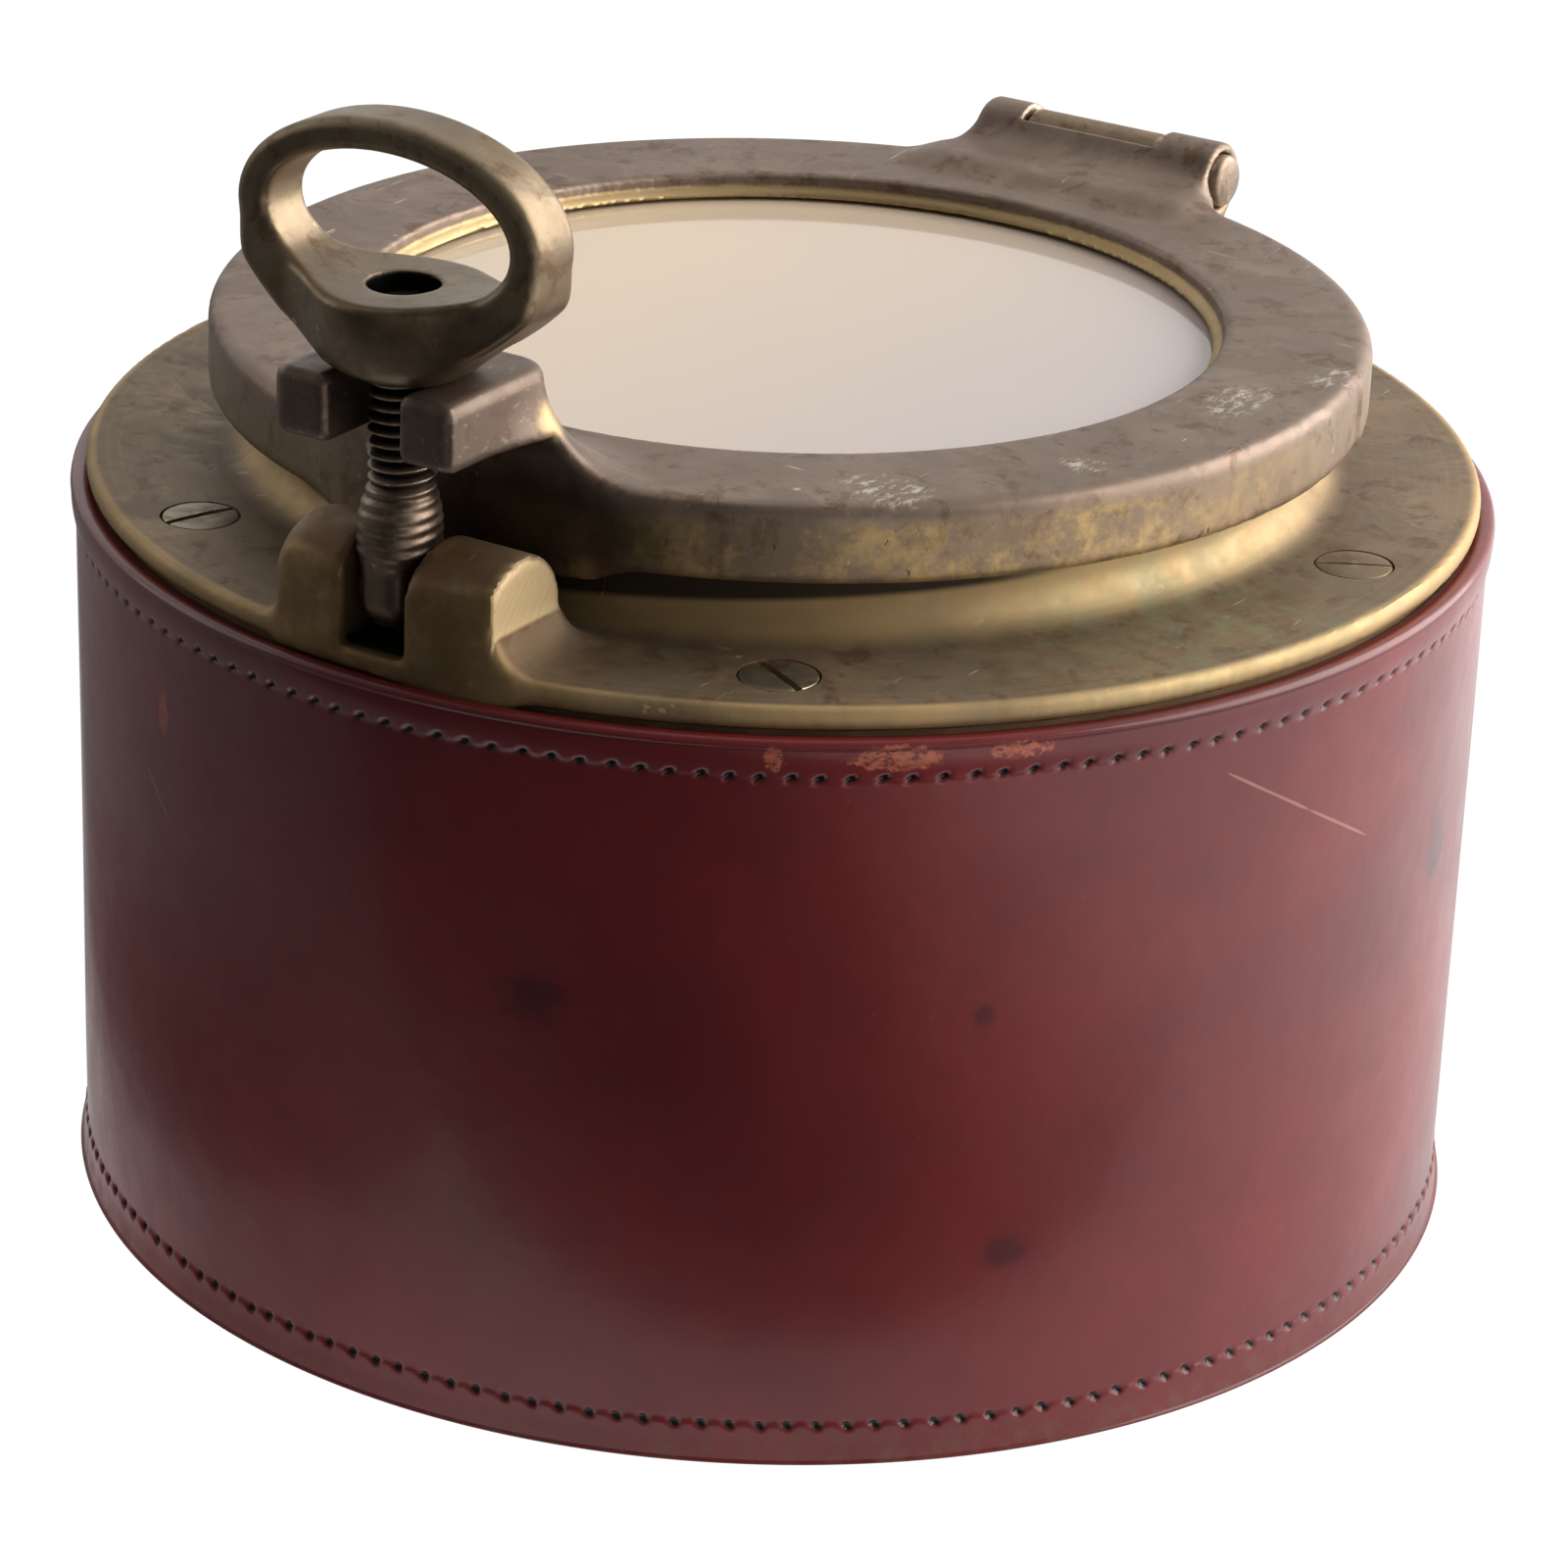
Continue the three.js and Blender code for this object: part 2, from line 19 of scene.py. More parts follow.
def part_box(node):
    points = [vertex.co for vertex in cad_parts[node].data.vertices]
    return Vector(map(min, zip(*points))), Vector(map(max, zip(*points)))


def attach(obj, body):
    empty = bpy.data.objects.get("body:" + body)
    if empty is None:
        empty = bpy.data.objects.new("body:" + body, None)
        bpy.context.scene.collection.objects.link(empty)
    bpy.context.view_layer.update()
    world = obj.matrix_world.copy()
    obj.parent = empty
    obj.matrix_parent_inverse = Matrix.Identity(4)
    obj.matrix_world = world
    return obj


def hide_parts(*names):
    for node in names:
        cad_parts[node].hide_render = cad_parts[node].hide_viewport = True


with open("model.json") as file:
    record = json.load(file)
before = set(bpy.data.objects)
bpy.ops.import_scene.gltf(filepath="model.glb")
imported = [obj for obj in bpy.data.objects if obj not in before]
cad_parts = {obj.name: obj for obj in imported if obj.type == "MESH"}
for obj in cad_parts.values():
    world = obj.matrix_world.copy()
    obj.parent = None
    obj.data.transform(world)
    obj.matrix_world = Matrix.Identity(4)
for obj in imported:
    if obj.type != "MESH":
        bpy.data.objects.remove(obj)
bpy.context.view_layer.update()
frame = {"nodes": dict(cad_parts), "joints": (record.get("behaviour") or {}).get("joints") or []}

MM = 0.001
TAU = 2 * math.pi
FLANGE_VOXEL, LID_VOXEL, NUT_VOXEL, BOLT_VOXEL = 0.66, 0.55, 0.3, 0.2


# ---------------------------------------------------------------- sizes
def span(node, axis):
    """The lowest and highest value of a CAD node along an axis, in millimetres."""
    low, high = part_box(node)
    return low[axis] / MM, high[axis] / MM


def joint_at(name):
    found = [j for j in frame["joints"] if j["name"] == name][0]
    return Vector(found["pos_m"]) / MM


HINGE = joint_at("lid_hinge")
LATCH = joint_at("bolt_swing")

FLANGE_R = 86.0
FLANGE_TOP = 94.3
FLANGE_BOTTOM = span("leather_wrap", 2)[1] + 0.3
NECK_R, NECK_TOP, NECK_FILLET = 64.5, 102.3, 5.0
BORE_R, LEDGE_R, LEDGE_TOP = 58.0, 54.0, 86.7
SPIGOT_R, SPIGOT_BOTTOM = 65.5, span("flange_ring", 2)[0]
SEAL = (59.5, 63.1, 100.9)

LUG_LEFT, LUG_RIGHT, LUG_Y, LUG_R, LUG_REACH, LUG_Z = -15.0, 15.6, -77.8, 6.9, 8.2, 99.4
SLOT_HALF, SLOT_FLOOR = 4.5, 93.6

LID_R, LID_BOTTOM, LID_TOP = 71.2, 102.9, 112.3
LID_BORE, LIP_R = 53.0, 51.7
GLASS_R, RECESS_R, LIP_UNDER = 56.0, 56.5, 109.3

FORK_HALF, FORK_SLOT, FORK_FRONT = 12.1, 4.9, -87.5
FORK_BOTTOM, FORK_TOP, FORK_BACK = 117.6, 125.6, -67.0

KNUCKLE_R, CENTRE_R, KNUCKLE_HALF, CENTRE_HALF = 4.9, 4.35, 19.1, 9.9
PIN_HOLE, PIN_FIT, PIN_SEAT = 3.5, 3.25, 3.75

NUT_FOOT, NUT_TOP = 125.9, 135.2
RING_Z, RING_OUT, RING_UP, RING_IN, RING_IN_UP = 142.3, 20.4, 12.0, 16.2, 8.3
BAND_HALF = 3.95

BOLT_R, BOLT_TOP, THREAD_PITCH = 3.95, 133.5, 1.41

LEATHER_R, LEATHER_IN = 87.6, 84.7
LEATHER_LOW, LEATHER_HIGH = span("leather_wrap", 2)
STITCH_PITCH, HOLE_DEPTH = 3.4, 0.6

SCREW_R, SCREW_SINK = 4.5, 4.78
SCREW_TURNS = (152, 30, 96, 70, 38, 128)
OPEN_SLOT, FILLED_SLOT, FILLED_SCREW = (11, 0.95, 2.4), (11, 0.45, 0.7), "flange_screw_2"


# ---------------------------------------------------------------- distance fields
def grid(low, high, voxel):
    axes = [np.arange(a, b + voxel, voxel, dtype=np.float32) for a, b in zip(low, high)]
    return np.meshgrid(*axes, indexing="ij", sparse=True)


def outside(dx, dz):
    """Distance to a corner from the signed distances to its two sides."""
    return np.hypot(np.maximum(dx, 0), np.maximum(dz, 0)) + np.minimum(np.maximum(dx, dz), 0)


def slab(v, low, high):
    return np.abs(v - (low + high) / 2) - (high - low) / 2


def rounded(a, b, r):
    """Both a and b, with the edge between them rounded to radius r."""
    return outside(a + r, b + r) - r


def box(x, y, z, low, high, r):
    flat = outside(slab(x, low[0], high[0]) + r, slab(y, low[1], high[1]) + r)
    return outside(flat, slab(z, low[2], high[2]) + r) - r


def fillet(a, b, r):
    """Either a or b, with a concave fillet of radius r between them."""
    return np.maximum(r, np.minimum(a, b)) - np.hypot(np.maximum(r - a, 0), np.maximum(r - b, 0))


def carve(a, b, r=0.0):
    """a without b, with the edge rounded to radius r."""
    return rounded(a, -b, r) if r else np.maximum(a, -b)


def from_pin(y, z):
    """Distance from the hinge pin's axis."""
    return np.hypot(y - HINGE.y, z - HINGE.z)


def polygon(u, v, corners):
    """Signed distance to a closed outline, negative inside."""
    best = None
    sign = None
    for (ax, ay), (bx, by) in zip(corners, corners[1:] + corners[:1]):
        ex, ey = bx - ax, by - ay
        wx, wy = u - ax, v - ay
        t = np.clip((wx * ex + wy * ey) / (ex * ex + ey * ey), 0, 1)
        d = (wx - ex * t) ** 2 + (wy - ey * t) ** 2
        best = d if best is None else np.minimum(best, d)
        up, down = (v >= ay) & (v < by), (v < ay) & (v >= by)
        left = ex * wy > ey * wx
        flip = (up & left) | (down & ~left)
        sign = flip if sign is None else sign ^ flip
    return np.where(sign, -1, 1) * np.sqrt(best)


def ellipse(u, v, a, b):
    """Distance to an ellipse, near its edge."""
    q = np.hypot(u / a, v / b) + 1e-6
    return (q - 1) * q / (np.hypot(u / a**2, v / b**2) + 1e-6)


def field_mesh(name, field, low, high, voxel):
    """The zero surface of field(x, y, z) as a mesh in metres."""
    x, y, z = grid(low, high, voxel)
    values = np.ascontiguousarray(np.clip(field(x, y, z), -3 * voxel, 3 * voxel), dtype=np.float32)
    volume = openvdb.FloatGrid(3 * voxel)
    volume.copyFromArray(values)
    points, triangles, quads = volume.convertToPolygons(0.0, 0.0)
    points = (np.asarray(low) + points * voxel) * MM
    faces = [list(reversed(f)) for f in triangles.tolist()] + [list(reversed(f)) for f in quads.tolist()]
    return solid_object(name, points, faces)


def solid_object(name, points, faces):
    """A smooth-shaded mesh object whose faces point out."""
    mesh = bpy.data.meshes.new(name)
    mesh.from_pydata([tuple(p) for p in points], [], faces)
    mesh.validate()
    bm = bmesh.new()
    bm.from_mesh(mesh)
    if bm.calc_volume(signed=True) < 0:
        bmesh.ops.reverse_faces(bm, faces=bm.faces)
    bm.to_mesh(mesh)
    bm.free()
    mesh.shade_smooth()
    obj = bpy.data.objects.new(name, mesh)
    bpy.context.scene.collection.objects.link(obj)
    return obj


def lathe(name, profile, segments=192, centre=(0.0, 0.0), axis="z"):
    """A turned piece from a closed or axis-to-axis profile of (radius, height)."""
    angles = np.linspace(0, TAU, segments, endpoint=False)
    rings, points, faces = [], [], []
    for r, h in profile:
        if r < 1e-6:
            rings.append([len(points)])
            points.append((0.0, 0.0, h))
            continue
        rings.append(list(range(len(points), len(points) + segments)))
        points += [(r * math.cos(a), r * math.sin(a), h) for a in angles]
    pairs = list(zip(rings, rings[1:]))
    if profile[0][0] > 1e-6:
        pairs.append((rings[-1], rings[0]))
    for low, high in pairs:
        for i in range(segments):
            j = (i + 1) % segments
            if len(low) == 1 and len(high) == 1:
                continue
            if len(low) == 1:
                faces.append([low[0], high[j], high[i]])
            elif len(high) == 1:
                faces.append([low[i], low[j], high[0]])
            else:
                faces.append([low[i], low[j], high[j], high[i]])
    if axis == "x":
        points = [(h, x, y) for x, y, h in points]
        offset = (0.0, centre[0], centre[1])
    else:
        offset = (centre[0], centre[1], 0.0)
    return solid_object(name, (np.array(points) + offset) * MM, faces)


def sharpen(obj, degrees=32):
    """Marks edges over an angle as sharp, so that flat faces shade flat."""
    bm = bmesh.new()
    bm.from_mesh(obj.data)
    limit = math.radians(degrees)
    for edge in bm.edges:
        edge.smooth = len(edge.link_faces) != 2 or edge.calc_face_angle(0) < limit
    bm.to_mesh(obj.data)
    bm.free()
    return obj


def cut_away(obj, *tools):
    """Cuts tools out of obj and removes them."""
    for tool in tools:
        change = obj.modifiers.new("cut", "BOOLEAN")
        change.operation, change.solver, change.object = "DIFFERENCE", "MANIFOLD", tool
    depsgraph = bpy.context.evaluated_depsgraph_get()
    mesh = bpy.data.meshes.new_from_object(obj.evaluated_get(depsgraph))
    obj.modifiers.clear()
    obj.data = mesh
    for tool in tools:
        bpy.data.objects.remove(tool)
    return obj


def bar(name, size, centre, turn=0.0):
    """A plain bar used as a cutter."""
    bm = bmesh.new()
    bmesh.ops.create_cube(bm, size=1.0)
    mesh = bpy.data.meshes.new(name)
    place = Matrix.Translation(Vector(centre) * MM) @ Matrix.Rotation(turn, 4, "Z") @ Matrix.Diagonal(
        (*(v * MM for v in size), 1.0)
    )
    bm.transform(place)
    bm.to_mesh(mesh)
    bm.free()
    obj = bpy.data.objects.new(name, mesh)
    bpy.context.scene.collection.objects.link(obj)
    return obj


def put(obj, body, material, *nodes, slot):
    """Gives a piece its body, its material and the CAD nodes that it stands for."""
    obj.data.materials.clear()
    obj.data.materials.append(material)
    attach(obj, body)
    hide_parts(*nodes)


# ---------------------------------------------------------------- shapes
def screw_places():
    """(name, x, y, slot angle) of each flange screw, from its CAD node."""
    for i, turn in enumerate(SCREW_TURNS):
        name = f"flange_screw_{i + 1}"
        low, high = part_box(name)
        centre = (low + high) / 2 / MM
        yield name, centre.x, centre.y, math.radians(turn)


def flange_field(x, y, z):
    rho = np.hypot(x, y)
    plate = outside(rho - FLANGE_R + 1.3, slab(z, FLANGE_BOTTOM, FLANGE_TOP) + 1.3) - 1.3
    neck = rounded(rho - NECK_R, slab(z, SPIGOT_BOTTOM, NECK_TOP), 0.7)
    body = fillet(plate, neck, NECK_FILLET)
    spigot = outside(rho - SPIGOT_R, slab(z, SPIGOT_BOTTOM, FLANGE_BOTTOM + 1))
    body = np.minimum(body, spigot)

    across = y - LUG_Y
    across = np.where(across < 0, across * LUG_R / LUG_REACH, across)
    arch = np.hypot(across, z - np.clip(z, 80, LUG_Z)) - LUG_R
    sides = slab(x, LUG_LEFT, LUG_RIGHT + 1.6)
    lugs = np.where(x < 0, rounded(arch, sides, 4.2), rounded(arch, sides, 2.6))
    lugs = np.maximum(lugs, x - LUG_RIGHT)
    lugs = rounded(lugs, np.maximum(rho - FLANGE_R + 0.12, FLANGE_BOTTOM - z), 0.5)
    body = fillet(body, lugs, 1.8 + 3.7 * np.clip(x / 12, 0, 1))

    web = box(x, y, z, (-CENTRE_HALF, HINGE.y - 3.2, 90), (CENTRE_HALF, HINGE.y + 4, HINGE.z), 0.8)
    web = fillet(body, web, 2.5)
    knuckle = rounded(from_pin(y, z) - CENTRE_R, slab(x, -CENTRE_HALF, CENTRE_HALF), 0.5)
    body = np.minimum(web, knuckle)
    body = np.where(z < 103, rounded(body, rho - FLANGE_R, 0.9), body)

    body = carve(body, box(x, y, z, (-SLOT_HALF, -99, SLOT_FLOOR), (SLOT_HALF, LUG_Y + 9, 120), 0.5), 0.5)
    body = carve(body, rho - BORE_R + np.where(z < LEDGE_TOP, BORE_R - LEDGE_R, 0))
    groove = outside(slab(rho, SEAL[0], SEAL[1]), SEAL[2] - z)
    body = carve(body, groove, 0.2)
    return carve(body, from_pin(y, z) - PIN_HOLE)


def make_flange():
    low, high = (-87.2, -87.2, SPIGOT_BOTTOM - 1.5), (87.2, 87.2, 119.3)
    obj = field_mesh("flange_casting", flange_field, low, high, FLANGE_VOXEL)
    top = FLANGE_TOP
    sink = [(0, 90), (2.3, 90), (2.3, top - 2.6), (SCREW_SINK, top - 0.7), (SCREW_SINK, 96), (0, 96)]
    cutters = [lathe("cutter", sink, 64, (x, y)) for _, x, y, _ in screw_places()]
    return sharpen(cut_away(obj, *cutters), 38)


def make_screw(name, x, y, turn):
    top = FLANGE_TOP + 0.02
    bottom = span(name, 2)[0]
    body = lathe(name + "_turned", [
        (0, bottom), (2, bottom), (2, top - 2.7), (SCREW_R, top - 0.8), (SCREW_R, top - 0.18),
        (SCREW_R - 0.08, top - 0.05), (SCREW_R - 0.25, top), (2.5, top + 0.05), (0, top + 0.07),
    ], 64, (x, y))
    slot = bar("slot", FILLED_SLOT if name == FILLED_SCREW else OPEN_SLOT, (x, y, top), turn)
    return sharpen(cut_away(body, slot), 35)


def lid_field(x, y, z):
    rho = np.hypot(x, y)
    ring = rounded(rho - LID_R, z - LID_TOP, 2.2)
    ring = rounded(ring, LID_BOTTOM - z, 0.9)

    plan = outside(slab(x, -FORK_HALF, FORK_HALF) + 4.5, slab(y, FORK_FRONT - 9, FORK_BACK) + 4.5) - 4.5
    raised = np.maximum(rounded(plan, slab(z, 100, FORK_TOP), 1.6), FORK_FRONT + 0.5 - y)
    body = fillet(ring, raised, 13.0)
    under = outside(LID_R - 0.2 - rho, z - FORK_BOTTOM)
    body = carve(body, under, 1.0)
    prongs = box(x, y, z, (-FORK_HALF, FORK_FRONT, FORK_BOTTOM), (FORK_HALF, -75, FORK_TOP), 1.5)
    body = np.minimum(body, prongs)
    slot = np.hypot(x, y - np.minimum(y, -77.9)) - FORK_SLOT
    body = carve(body, np.maximum(slot, FORK_BOTTOM - 3 - z), 0.9)

    width = slab(x, -KNUCKLE_HALF + 2.2, KNUCKLE_HALF)
    barrel = rounded(from_pin(y, z) - KNUCKLE_R, width, 1.2)
    arm = box(x, y, z, (-KNUCKLE_HALF + 1, 62, 104.5), (KNUCKLE_HALF, HINGE.y, LID_TOP - 0.2), 1.2)
    lug = fillet(barrel, arm, 4.0)
    hinge = fillet(ring, lug, 6.0)
    hinge = carve(hinge, box(x, y, z, (KNUCKLE_HALF, 70.9, 106.2), (45, 95, 130), 1.2), 0.8)
    hinge = np.where(rho < LID_R, hinge, np.where(z < 104.2, hinge + (104.2 - z), hinge))
    body = np.where(y > 20, hinge, body)
    knuckle = from_pin(y, z) - CENTRE_R - 0.3
    beside = slab(x, -CENTRE_HALF - 0.3, CENTRE_HALF + 0.3)
    above = np.maximum(HINGE.y - 2.4 - y, HINGE.z - z)
    below = np.maximum(HINGE.y - 3.7 - y, z - HINGE.z)
    gap = rounded(np.minimum(knuckle, np.minimum(above, below)), beside, 0.2)
    body = carve(body, gap, 0.25)

    bore = rho - (LID_BORE - np.clip((110.7 - z) / 0.8, 0, 1) * (LID_BORE - LIP_R))
    body = carve(body, bore, 0.7)
    recess = outside(rho - RECESS_R, z - LIP_UNDER)
    body = carve(body, recess)
    seat = np.maximum(np.hypot(y - HINGE.y + 0.2, z - HINGE.z) - PIN_SEAT, KNUCKLE_HALF - 1.3 - x)
    return carve(body, np.minimum(from_pin(y, z) - PIN_FIT, seat), 0.2)


def make_lid():
    low, high = (-72.6, -89, LID_BOTTOM - 1.5), (72.6, 82.4, FORK_TOP + 1.5)
    return field_mesh("lid_casting", lid_field, low, high, LID_VOXEL)


def to_latch(obj):
    """Moves a mesh from the Z axis to the swing bolt's axis."""
    obj.data.transform(Matrix.Translation((0, LATCH.y * MM, 0)))
    return obj


def nut_field(x, y, z):
    """The ring nut, with its axis on the Z axis: a flat oval band that swells into a bowl-shaped hub."""
    rho = np.hypot(x, y)
    flanks = [(-5, 127.5), (6.5, 127.5), (12.2, 131.3), (17.2, 136.4), (10, 142), (-5, 142)]
    outline = fillet(polygon(np.abs(x), z, flanks), ellipse(x, z - RING_Z, RING_OUT, RING_UP), 6.0)
    band = rounded(outline, np.abs(y) - BAND_HALF - 0.16 * np.clip(140 - z, 0, 9), 1.5)
    hub = rounded(ellipse(rho, z - 135, 10.2, 12.5), NUT_FOOT - z, 0.8)
    body = fillet(band, hub, 4.0)
    window = rounded(ellipse(x, z - RING_Z, RING_IN, RING_IN_UP), NUT_TOP - z, 2.4)
    body = carve(body, window, 1.35)
    body = carve(body, outside(rho - 6.25, z - 127.2))
    hole = np.maximum(rho - 4.1, z - 145)
    return carve(body, hole, 0.45)


def make_ring_nut():
    low, high = (-21.6, -11.4, NUT_FOOT - 1.5), (21.6, 11.4, 155.8)
    return to_latch(field_mesh("ring_nut_casting", nut_field, low, high, NUT_VOXEL))


def bolt_field(x, y, z):
    """The swing bolt, drawn with its axis on the Z axis and its eye at the pivot's height."""
    rho = np.hypot(x, y)
    turn = (z / THREAD_PITCH - np.arctan2(y, x) / TAU) % 1.0
    ridge = np.abs(turn - 0.5) * 2
    wear = np.clip((z - 107) / 9, 0.35, 1)
    rod = rho - BOLT_R + 1.0 * wear * np.clip(ridge * 1.3 - 0.15, 0, 1) + 0.12 * (1 - wear)
    rod = rounded(rod * 0.8, slab(z, 104.5, BOLT_TOP), 0.5)
    tongue = np.hypot(y, z - np.clip(z, LATCH.z, 107)) - 4.1
    tongue = rounded(tongue, np.abs(x + 0.45) - 3.3, 2.2)
    body = fillet(rod, tongue, 2.6)
    return carve(body, np.hypot(y, z - LATCH.z) - 2.3, 0.3)


def make_bolt():
    low, high = (-5, -5.4, LATCH.z - 5.6), (5, 5.4, BOLT_TOP + 1)
    return to_latch(field_mesh("bolt_forging", bolt_field, low, high, BOLT_VOXEL))


# ---------------------------------------------------------------- leather
def leather_rows():
    """Heights up the outside of the cover, close together where it is stitched or turned over."""
    low, high = LEATHER_LOW, LEATHER_HIGH
    dense_low = np.arange(low + 0.3, low + 7, 0.34)
    middle = np.linspace(low + 7, high - 7, 16)[1:-1]
    dense_high = np.arange(high - 7, high - 0.8, 0.34)
    return np.concatenate([dense_low, middle, dense_high])


def smooth(v, low, high):
    t = np.clip((v - low) / (high - low), 0, 1)
    return t * t * (3 - 2 * t)


def stitch_marks(theta, z, line, direction):
    """How deep a needle hole is, and how far the turned-over edge stands out, at each point."""
    count = round(TAU * LEATHER_R / STITCH_PITCH)
    along = theta * count / TAU
    index = np.floor(along)
    wander = 0.12 * np.sin(index * 12.9898) + 0.09 * np.sin(index * 4.1)
    du = (along - index - 0.5 + wander * 0.5) * STITCH_PITCH
    dz = (z - line) * direction + wander * 0.7
    slant = 0.55
    a = du * math.cos(slant) + dz * math.sin(slant)
    b = dz * math.cos(slant) - du * math.sin(slant)
    hole = np.exp(-((a / 0.62) ** 2 + (b / 0.36) ** 2) ** 1.3)
    scallop = 0.14 * np.cos(TAU * (along + wander * 0.5))
    fold = smooth(dz + scallop, -0.45, 0.35)
    thread = np.exp(-((dz + 0.05) / 0.3) ** 2) * smooth(np.abs(du), 0.7, 1.2)
    return hole, fold, thread


def make_leather():
    count = round(TAU * LEATHER_R / STITCH_PITCH) * 10
    theta = np.linspace(0, TAU, count, endpoint=False)[None, :]
    z = leather_rows()[:, None]
    low, high = LEATHER_LOW, LEATHER_HIGH
    hole_t, fold_t, thread_t = stitch_marks(theta, z, high - 4.5, 1)
    hole_b, fold_b, thread_b = stitch_marks(theta + 0.01, z, low + 4.7, -1)
    crown_t = 0.34 * np.sin(np.clip((z - (high - 4.5)) / 4.5, 0, 1) * math.pi)
    dents = 0.12 * np.sin(3 * theta + 1.1) * np.sin(z / 21) + 0.08 * np.sin(7 * theta + z / 17)
    dents = dents * smooth(z, low + 6, low + 20) * smooth(-z, 6 - high, 20 - high)
    flare = 0.35 * smooth(-z, -low - 3.5, -low)
    r = LEATHER_R - 0.5 + 0.2 * fold_t + 0.26 * fold_b + crown_t + dents + flare
    r = r - HOLE_DEPTH * (hole_t + hole_b) + 0.03 * (thread_t + thread_b)

    foot = np.array([(LEATHER_R + 0.2, low), (LEATHER_R + 0.42, low + 0.12)])
    edge = [(1.45, 1.0), (1.35, 0.55), (1.1, 0.22), (0.7, 0.06), (0.1, 0.0)]
    top = [(LEATHER_R - 1.35 + out, high - down) for out, down in edge]
    top += [(LEATHER_R - 1.8, high - 0.1), (LEATHER_IN, high - 0.5)]
    top = np.array(top + [(LEATHER_IN, low + 0.3), (LEATHER_IN + 0.3, low)])
    radii = np.concatenate([np.repeat(foot[:, :1], count, 1), r, np.repeat(top[:, :1], count, 1)])
    heights = np.repeat(np.concatenate([foot[:, 1:], z, top[:, 1:]]), count, 1)
    angles = np.repeat(theta, len(radii), 0)
    points = np.stack([radii * np.cos(angles), radii * np.sin(angles), heights], -1).reshape(-1, 3) * MM
    rows = len(radii)
    i = np.arange(count)
    j = (i + 1) % count
    faces = []
    for k in range(rows):
        a, b = k * count, ((k + 1) % rows) * count
        faces += np.stack([a + i, a + j, b + j, b + i], -1).tolist()
    obj = solid_object("leather_cover", points, faces)
    # painted shade for the needle holes, read by the leather's material
    hole_shade = np.zeros((rows, count), np.float32)
    hole_shade[len(foot):len(foot) + len(z)] = np.clip(hole_t + hole_b, 0, 1)
    layer = obj.data.attributes.new("needle_hole_shade", "FLOAT", "POINT")
    layer.data.foreach_set("value", hole_shade.ravel())
    return obj


